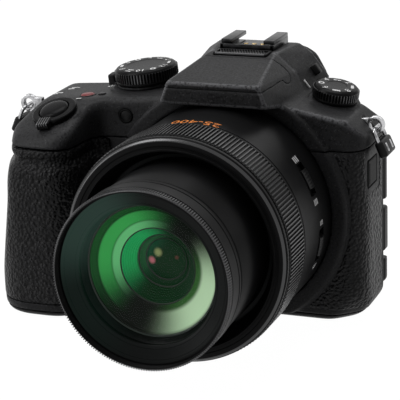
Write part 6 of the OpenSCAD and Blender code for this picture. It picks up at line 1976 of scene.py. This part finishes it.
@dataclass
class Controls:
    """Shutter button, zoom lever, power lever, wheels, the small buttons and the prints beside them."""

    form: BodyForm
    rows: Repeat
    rings: Repeat
    shutter_r: float = 5.75
    lever_r: float = 8.75
    power_r: float = 11.7
    record: Pair = (-58.3, -9.4)
    function: Pair = (-52.4, -9.2)
    lock: Pair = (-40.0, 61.0)
    playback: Pair = (-40.0, 49.0)
    cursor: Pair = (-55.0, 30.0)
    arrow_r: float = 7.0
    prints_at: tuple[tuple[Pair, Pair], ...] = (
        ((-73.6, -6.4), (2.0, 1.1)), ((-72.6, -4.6), (3.0, 0.8)), ((-70.4, 1.6), (2.6, 1.0)),
        ((-69.4, 3.6), (3.4, 0.8)), ((-55.0, 3.4), (1.0, 1.0)), ((-53.2, 4.2), (2.4, 1.2)),
        ((-59.4, -15.4), (2.0, 0.8)))

    def shutter(self) -> None:
        """Makes the domed shutter button and the ring lever round it."""
        seat, r = self.form.shutter, self.shutter_r
        profile = [(0.0, 3.55), (2.0, 3.5), (3.6, 3.36), (4.8, 3.05), (r - 0.25, 2.6), (r, 2.1), (r, 1.75),
                   (2.0, 1.75), (2.0, -4.0), (0.0, -4.0)]
        place("shutter_cap", turned(profile, 96).on(seat), [Look.SATIN], "shutter", ["shutter_button"],
              "satin_black", 50.0)
        hub = lathe([(2.1, -1.0), (5.95, -1.0), (5.95, 0.6), (2.1, 0.6)], 64).on(seat)
        place("shutter_hub", hub, [Look.PLASTIC], slot="black_plastic")
        grid = Grid((-79, -40, 68), (-52, -12, 86), 0.3)
        lever = grid.rod(seat, self.lever_r, (0.2, 2.35), 0.7)
        tab = grid.box((-3.4, -11.3, 0.25), (1.8, -6.2, 3.0), 0.6, seat)
        lever = lever.fillet(tab, 0.5) - grid.rod(seat, 6.1, (-5, 9))
        place("zoom_lever_ring", lever.shape(), [Look.SATIN], "zoom_lever", ["zoom_lever"], "satin_black")
        ridge = bevelled((-0.26, -0.7, -1.2), (0.26, 4.3, 0.0), 0.16, 2)
        ridges = self.rows.row("zoom_lever_ridges", ridge, Look.KNURL, seat, 5, (-2.8, -11.0, 3.2),
                               (1.0, 0, 0))
        place("zoom_lever_ridges", ridges, [Look.KNURL], "zoom_lever", slot="satin_black")

    def power(self) -> None:
        """Makes the power lever under the mode dial."""
        seat = self.form.mode
        grid = Grid((-58, -9, 80), (-24, 19, 93), 0.35)
        lever = grid.rod(seat, self.power_r, (0.2, 1.2), 0.25)
        lever |= grid.box((-15.7, -2.5, 0.2), (-12.75, 2.5, 4.4), 0.7, seat)
        lever |= grid.box((-15.7, -2.5, 0.2), (-9, 2.5, 1.2), 0.3, seat)
        lever -= grid.rod(seat, 3.1, (-3, 9))
        place("power_tab", lever.shape(), [Look.PAINT], "power_lever", ["power_lever"], "paint")

    def plate_seat(self, x: float, y: float) -> Seat:
        """Seat on the grip-side top plate over a point of the plan."""
        form = self.form
        rise = (x - form.plate_left[0]) * math.tan(math.radians(form.plate_left_tilt))
        return Seat((x, y, form.plate_left[2] + rise), form.plate_left_tilt, 0.0)

    def rear_seat(self, place_at: Pair) -> Seat:
        """Seat on the back at a place across it."""
        return Seat((place_at[0], self.form.rear, place_at[1]), forward=-90)

    def small(self) -> None:
        """Makes the small buttons on the top and on the back."""
        record = self.plate_seat(*self.record)
        Button("record_button", "record", record, 2.7, Look.RED, "red_button", 0.55).build()
        collar = lathe(softened([(2.8, -0.2), (3.6, -0.2), (3.4, 0.22), (2.95, 0.22)], 0.1), 48).on(record)
        place("record_collar", collar, [Look.PLASTIC], slot="black_plastic")
        Button("function_button", "function", self.plate_seat(*self.function), 1.7).build()
        Button("lock_button", "lock_button", self.rear_seat(self.lock), 2.7).build()
        Button("playback_button", "playback_button", self.rear_seat(self.playback), 2.7).build()
        Button("set_button", "set_button", self.rear_seat(self.cursor), 4.6).build()

    def pad(self) -> None:
        """Makes the cursor pad with four arrows."""
        seat = self.rear_seat(self.cursor)
        ring = [(4.85, -1.0), (10.5, -1.0), (10.5, 0.2), (10.1, 0.6), (8.2, 0.45), (6.2, 0.3), (5.2, 0.2),
                (4.85, 0.0)]
        place("cursor_ring", lathe(softened(ring, 0.15), 96).on(seat), [Look.SATIN], "cursor_pad",
              ["cursor_pad"], "satin_black")
        verts = [(x, y, z) for z in (0.0, 0.06) for x, y in ((-0.7, 0.0), (0.7, 0.0), (0.0, 0.9))]
        arrow = Shape(np.array(verts), [(0, 1, 2), (3, 4, 5), (0, 1, 4, 3), (1, 2, 5, 4), (2, 0, 3, 5)])
        arrow = arrow.moved(0, self.arrow_r, 0.37)
        arrows = joined([arrow.spun(k * math.pi / 2) for k in range(4)])
        place("cursor_arrows", arrows.on(seat), [Look.WHITE], "cursor_pad", slot="satin_black")

    def prints(self) -> None:
        """Puts small white prints on the top plates: bars, dots and an index line."""
        bars = []
        for (x, y), (wide, deep) in self.prints_at:
            bar = bevelled((-wide / 2, -deep / 2, -0.05), (wide / 2, deep / 2, 0.05), 0.02, 1)
            bars.append(bar.on(self.plate_seat(x, y)))
        place("plate_prints", joined(bars), [Look.WHITE], slot="paint")
        flank = Seat((24.05, 9.05, 85.5), left=31.5, forward=15.5)
        index = bevelled((-0.6, -0.5, -1.95), (0.2, 0.5, 1.95), 0.1, 1).on(flank)
        place("dial_index", index, [Look.WHITE], slot="paint")

    def build(self) -> None:
        """Makes all the controls."""
        Dial("mode_dial", self.form.mode, 12.3, 1.6, 7.5, 64, 12).build(self.rings)
        Dial("drive_dial", self.form.drive, 8.8, 0.35, 5.6, 48, 8).build(self.rings)
        self.shutter()
        self.power()
        self.small()
        self.pad()
        Wheel("rear_dial", "rear_dial", Seat((-56.0, 11.8, 70.0)), 8.0, 0.0, 5.0, 60).build(self.rings)
        dioptre = Seat((28.6, 20.0, 81.0), left=-90.0)
        Wheel("diopter_dial", "diopter", dioptre, 3.6, 0.3, 2.8, 30, stem=2.0).build(self.rings)
        self.prints()


@dataclass
class Rear:
    """Monitor, eyecup and port cover."""

    hinge_cut: float = 6.9
    pin_in: float = 2.8
    arm_z: Pair = (27.8, 29.8)
    cup_half: tuple[Pair, ...] = ((22.0, 73.0), (27.0, 84.0), (22.0, 93.0), (17.0, 95.8))
    cup_middle: float = 84.0
    cup_taper: float = 0.94

    def monitor(self) -> None:
        """Makes the swing-out monitor: housing, glass and hinge block."""
        low, high = span("lcd_frame")
        pane_low, pane_high = span("lcd_screen")
        hinge_low, hinge_high = span("lcd_hinge")
        grid = Grid(low, high, 0.55)
        case = grid.box(low, high, 2.2)
        case -= grid.box((high[0] - self.hinge_cut, -FAR, hinge_low[2] - 0.6),
                         (FAR, FAR, hinge_high[2] + 0.6), 0.3)
        case -= grid.box((pane_low[0] - 0.2, high[1] - 0.8, pane_low[2] - 0.2),
                         (pane_high[0] + 0.2, FAR, pane_high[2] + 0.2), 0.2)
        place("monitor_case", case.shape(), [Look.PLASTIC], "monitor", ["lcd_frame"], "black_plastic")
        place("monitor_glass", bevelled(pane_low, pane_high, 0.3), [Look.WINDOW], "monitor", ["lcd_screen"],
              "window")
        middle = float(low[1] + high[1]) / 2
        foot, top = float(hinge_low[2]), float(hinge_high[2])
        block = bevelled((hinge_low[0] + 4.0, low[1], foot + 2.5), (high[0], high[1], top - 2.5), 1.2, 4)
        pin = turned([(0.0, foot), (1.0, foot), (1.0, top), (0.0, top)], 32, 0.15)
        pin = pin.moved(float(high[0]) - self.pin_in, middle, 0.0)
        arm = bevelled((hinge_low[0], middle - 1.0, self.arm_z[0]),
                       (hinge_low[0] + 5, middle + 1.0, self.arm_z[1]), 0.4)
        place("monitor_hinge", block + pin + arm, [Look.PLASTIC], "monitor", ["lcd_hinge"], "black_plastic")

    def eyecup(self) -> None:
        """Makes the soft eyecup round the finder window."""
        low, high = span("eyecup")
        near, far = float(low[1]), float(high[1])
        grid = Grid(low, high, 0.55)
        middle = self.cup_middle
        points = [(side * x * grow, y, middle + (z - middle) * grow)
                  for y, grow in ((near, 1.0), (far, self.cup_taper))
                  for x, z in self.cup_half for side in (-1, 1)]
        cup = grid.hull(points).eased(1.3) & grid.plane((0, near, 0), (0, -1, 0))
        hole = grid.box((-12.8, 0, 77.2), (12.8, FAR, 90.8), 3.0)
        ends = ((27.5, 12.0, (78.0, 90.0)), (34.0, 18.0, (75.2, 92.4)))
        mouth = grid.hull([(side * x, y, z) for y, x, heights in ends for z in heights for side in (-1, 1)])
        cup = cup - hole - mouth.eased(1.2)
        place("eyecup_rubber", cup.shape(), [Look.RUBBER], nodes=["eyecup"], slot="soft_rubber")

    def port(self) -> None:
        """Makes the port cover with its thin hinge edge and finger notch."""
        low, high = span("side_cover")
        grid = Grid(low, high, 0.22)
        notch_low = (high[0] - 0.45, low[1] + 1.0, low[2] + 1.0)
        notch_high = (high[0] + 5, low[1] + 1.6, high[2] - 1.0)
        flap = grid.box(low, high, 0.55) - grid.box(notch_low, notch_high, 0.2)
        place("port_flap", flap.shape(), [Look.RUBBER], "side_cover", ["side_cover"], "soft_rubber")

    def build(self) -> None:
        """Makes the monitor, the eyecup and the port cover."""
        self.monitor()
        self.eyecup()
        self.port()


@dataclass
class Straps:
    """Strap eyelets, wire rings and their guards."""

    wire: float = 0.75
    lean: float = 24.0
    height: float = 73.9
    hole_r: float = 1.9
    eye_r: float = 3.4
    half: float = 1.2
    left_x: float = -88.2
    right_x: float = 53.2

    def ring(self, name: str, x: float, side: int) -> None:
        """Makes one wire ring with its guard.

        Args:
            name: Which side.
            x: Place of the eyelet.
            side: Sign of the side along X.
        """
        body = f"strap_ring_{name}"
        seat = Seat((x, 0.0, self.height), left=side * self.lean)
        top = self.wire + 0.2 - self.hole_r
        corners = [(-4.6, top), (4.6, top), (5.2, top - 4.0), (4.0, top - 9.6), (-4.0, top - 9.6),
                   (-5.2, top - 4.0)]
        path = np.array([(0.0, y, z) for y, z in softened(corners, 2.4, steps=6)])
        loop = wire_loop(path, self.wire, 14).on(seat)
        place(f"strap_wire_{name}", loop, [Look.CHROME], body, [body], "steel", 80.0)
        guard = bevelled((-1.7, -6.0, top - 11.0), (1.7, 6.0, top - 4.6), 1.1, 4).on(seat)
        place(f"strap_guard_{name}", guard, [Look.PLASTIC], body, slot="black_plastic")
        pins = [bevelled((-2.0, y - 0.55, top - 9.6), (2.0, y + 0.55, top - 6.2), 0.4, 3)
                for y in (-2.6, 2.6)]
        place(f"strap_pins_{name}", joined(pins).on(seat), [Look.CHROME], body, slot="steel")

    def lugs(self) -> None:
        """Makes both eyelets."""
        half, hole, rim = self.half, self.hole_r, self.eye_r
        eye = lathe(softened([(hole, -half), (rim, -half), (rim, half), (hole, half)], 0.35), 48)
        parts = []
        for x, side in ((self.left_x, -1), (self.right_x, 1)):
            reach = sorted((x - side * 2.6, x - side * 6.0))
            parts.append(eye.on(Seat((x, 0.0, self.height), forward=90.0)))
            parts.append(bevelled((reach[0], -half, self.height - 2.4),
                                  (reach[1], half, self.height + 2.4), 0.3))
        place("strap_eyelets", joined(parts), [Look.STEEL], nodes=["strap_lugs"], slot="steel")

    def build(self) -> None:
        """Makes the eyelets and both rings."""
        self.lugs()
        self.ring("left", self.left_x, -1)
        self.ring("right", self.right_x, 1)


@dataclass
class Underside:
    """Battery door, latch, tripod bush and base screws."""

    form: BodyForm
    rows: Repeat
    hinge: Seat = Seat((-60.0, 0.0, 1.5), forward=90.0)
    leaf_in: float = 1.8
    bush_r: float = 5.5
    thread_r: float = 3.175
    thread_pitch: float = 1.27
    screw_x: float = 36.0
    screw_y: Pair = (-6.0, 7.0)

    def door(self) -> None:
        """Makes the battery door and its latch."""
        low, high = span("battery_door")
        grid = Grid(low, high, 0.4)
        inset = self.leaf_in
        leaf = grid.box((low[0], low[1] + inset, 0.3), (high[0], high[1] - inset, 2.7), 0.5)
        leaf &= self.form.walls(grid).grow(-4.6)
        leaf |= grid.rod(self.hinge, 1.15, (-high[1] + inset, -low[1] - inset), 0.2)
        leaf |= grid.rod(self.hinge, 0.7, (-high[1], -low[1]))
        leaf -= grid.box((-79, -18, 0), (-73, -6, 1.7), 0.3)
        place("battery_door_leaf", leaf.shape(), [Look.PLASTIC], "battery_door", ["battery_door"],
              "black_plastic")
        low, high = span("battery_latch")
        tab = bevelled(low, high, 0.3)
        place("battery_latch_tab", tab, [Look.PLASTIC], "battery_latch", ["battery_latch"], "black_plastic")
        ridge = bevelled((-2.2, -0.3, -0.22), (2.2, 0.3, 0.1), 0.12, 1)
        start = (float(low[0] + high[0]) / 2, float(low[1]) + 1.4, float(low[2]))
        ridges = self.rows.row("battery_latch_ridges", ridge, Look.PLASTIC, None, 5, start, (0, 1.3, 0))
        place("battery_latch_ridges", ridges, [Look.PLASTIC], "battery_latch", slot="black_plastic")

    def metal(self) -> None:
        """Makes the tripod bush and the base screws."""
        r, bush = self.thread_r, self.bush_r
        profile = [(bush, 0.0), (bush, 7.5), (0.0, 7.5), (0.0, 5.5), (3.0, 5.5)]
        for k in range(4):
            s = 5.2 - self.thread_pitch * k
            profile += [(r, s), (r + 0.275, s - 0.4), (r, s - 0.8)]
        profile += [(r, 0.4), (3.6, 0.0)]
        place("tripod_insert", lathe(profile, 64), [Look.STEEL], nodes=["tripod_bush"], slot="brass",
              crease=30.0)
        dome = [(0.0, 1.4), (1.0, 1.4), (1.0, 0.9), (1.9, 0.9), (2.0, 0.0), (1.2, -0.2), (0.0, -0.2)]
        head = turned(dome, 32, 0.12)
        for name, y, nodes in zip(("front", "rear"), self.screw_y, (["base_screws"], [])):
            ends = ((-self.screw_x, y, 0.35), (2 * self.screw_x, 0, 0))
            heads = self.rows.row(f"base_screws_{name}", head, Look.STEEL, None, 2, *ends)
            place(f"base_screws_{name}", heads, [Look.STEEL], nodes=nodes, slot="steel")

    def build(self) -> None:
        """Makes the pieces on the base."""
        self.door()
        self.metal()


class Insides:
    """Finishes of the CAD nodes that stay as they are."""

    LOOKS = {
        Look.ALUMINIUM: ("chassis",),
        Look.CELL: ("cam_ring",),
        Look.BOARD: ("main_board", "sensor_unit"),
        Look.STEEL: ("flash_pin", "zoom_motor"),
        Look.PLASTIC: ("battery", "evf_module", "iris_unit", "rear_lens_cell", "variator_cell",
                       "focus_group"),
        Look.DEEP: ("variator_lens",),
    }

    def build(self) -> None:
        """Dresses the inner nodes."""
        for look, nodes in self.LOOKS.items():
            for node in nodes:
                item = frame["nodes"][node]
                item.data.materials.clear()
                item.data.materials.append(look.value.material())
                LOG.info("%s wears %s", node, look.value.name)


@dataclass(frozen=True)
class Lamp:
    """A soft rectangular lamp: place and size in metres, power in watts."""

    name: str
    at: Point
    size: Pair
    power: float

    def build(self, aim: Point) -> None:
        """Makes the lamp, turned to a point.

        Args:
            aim: The point it faces.
        """
        data = bpy.data.lights.new(self.name, "AREA")
        data.shape = "RECTANGLE"
        data.size, data.size_y = self.size
        data.energy = self.power
        holder = bpy.data.objects.new(self.name, data)
        bpy.context.scene.collection.objects.link(holder)
        holder.location = self.at
        holder.rotation_euler = (Vector(aim) - Vector(self.at)).to_track_quat("-Z", "Y").to_euler()


@dataclass
class Studio:
    """Pale floor, soft lamps, white surroundings and the photograph's camera, in millimetres and degrees."""

    eye: Point = (227.76, -618.63, 246.67)
    azimuth: float = 21.61
    elevation: float = 17.32
    roll: float = -1.99
    focal: float = 162.0
    sensor: float = 36.0
    ambient: float = 0.08
    floor_share: float = 0.8
    floor_glow: float = 1.24
    floor_half: float = 6.0
    floor_z: float = -0.0006
    aim: Point = (-0.01, -0.02, 0.05)
    rays: tuple[str, ...] = ("Is Camera Ray", "Is Glossy Ray", "Is Transmission Ray")
    lamps: tuple[Lamp, ...] = (
        Lamp("overhead", (-0.1, 0.12, 0.9), (0.7, 0.5), 4.2),
        Lamp("key", (-0.5, -0.4, 0.7), (0.4, 0.4), 3.2),
        Lamp("left", (-0.9, -0.55, 0.3), (0.4, 0.5), 2.2),
        Lamp("right", (0.8, 0.35, 0.5), (0.3, 0.5), 0.6),
        Lamp("back_rim", (0.1, 0.9, 0.6), (0.7, 0.3), 0.5))

    def camera(self) -> None:
        """Makes the camera."""
        a, e, roll = (math.radians(v) for v in (self.azimuth, self.elevation, self.roll))
        back = Vector((math.sin(a) * math.cos(e), -math.cos(a) * math.cos(e), math.sin(e)))
        right = Vector((math.cos(a), math.sin(a), 0.0))
        up = back.cross(right)
        turned_right = math.cos(roll) * right + math.sin(roll) * up
        turned_up = -math.sin(roll) * right + math.cos(roll) * up
        data = bpy.data.cameras.new("photo_camera")
        data.lens = self.focal
        data.sensor_width = self.sensor
        data.clip_start = 0.01
        holder = bpy.data.objects.new("photo_camera", data)
        bpy.context.scene.collection.objects.link(holder)
        holder.matrix_world = Matrix((turned_right, turned_up, back)).transposed().to_4x4()
        holder.location = Vector(self.eye) * MM
        bpy.context.scene.camera = holder

    def world(self) -> None:
        """Makes surroundings that look white and give a low even light."""
        world = bpy.data.worlds.new("studio")
        world.use_nodes = True
        tree = world.node_tree
        tree.nodes.clear()
        path = tree.nodes.new("ShaderNodeLightPath")
        seen = path.outputs[self.rays[0]]
        for ray in self.rays[1:]:
            either = tree.nodes.new("ShaderNodeMath")
            either.operation = "MAXIMUM"
            tree.links.new(seen, either.inputs[0])
            tree.links.new(path.outputs[ray], either.inputs[1])
            seen = either.outputs[0]
        strength = tree.nodes.new("ShaderNodeMapRange")
        strength.inputs["To Min"].default_value = self.ambient
        strength.inputs["To Max"].default_value = 1.0
        tree.links.new(seen, strength.inputs["Value"])
        light = tree.nodes.new("ShaderNodeBackground")
        tree.links.new(strength.outputs[0], light.inputs["Strength"])
        out = tree.nodes.new("ShaderNodeOutputWorld")
        tree.links.new(light.outputs[0], out.inputs[0])
        bpy.context.scene.world = world

    def floor(self) -> None:
        """Makes the pale floor that keeps a soft shadow."""
        mesh = bpy.data.meshes.new("floor")
        half = self.floor_half
        corners = [(x, y, self.floor_z)
                   for x, y in ((-half, -half), (half, -half), (half, half), (-half, half))]
        mesh.from_pydata(corners, [], [(0, 1, 2, 3)])
        floor = bpy.data.objects.new("floor", mesh)
        bpy.context.scene.collection.objects.link(floor)
        graph = Graph("floor")
        graph.fix(Roughness=0.9)
        graph.link("Base Color", graph.blend(graph.noise(60.0), (0.34, 0.34, 0.34), (0.36, 0.36, 0.36)))
        glow = graph.node("ShaderNodeEmission", sockets={"Strength": self.floor_glow})
        seen = [graph.value("ShaderNodeLightPath", output=ray) for ray in self.rays]
        share = seen[0].math("MAXIMUM", seen[1]).math("MAXIMUM", seen[2]) * self.floor_share
        ends = {0: share, 1: Sock(graph, graph.shader.outputs[0]), 2: Sock(graph, glow.outputs[0])}
        mixed = graph.value("ShaderNodeMixShader", sockets=ends)
        out = next(n for n in graph.tree.nodes if n.type == "OUTPUT_MATERIAL")
        graph.tree.links.new(mixed.socket, out.inputs["Surface"])
        mesh.materials.append(graph.material)

    def build(self) -> None:
        """Sets up the studio."""
        bpy.context.scene.view_settings.view_transform = "Standard"
        self.camera()
        self.world()
        self.floor()
        for lamp in self.lamps:
            lamp.build(self.aim)


def main() -> None:
    """Builds the camera piece by piece."""
    logging.basicConfig(level=logging.INFO, format="%(name)s %(message)s")
    rings, rows = Repeat(Layout.RING), Repeat(Layout.ROW)
    form = BodyForm()
    Studio().build()
    BodyShells(form).build()
    TopShell(form, rows).build()
    Lens(rings).build()
    Controls(form, rows, rings).build()
    Rear().build()
    Straps().build()
    Underside(form, rows).build()
    Insides().build()


if __name__ == "__main__":
    main()
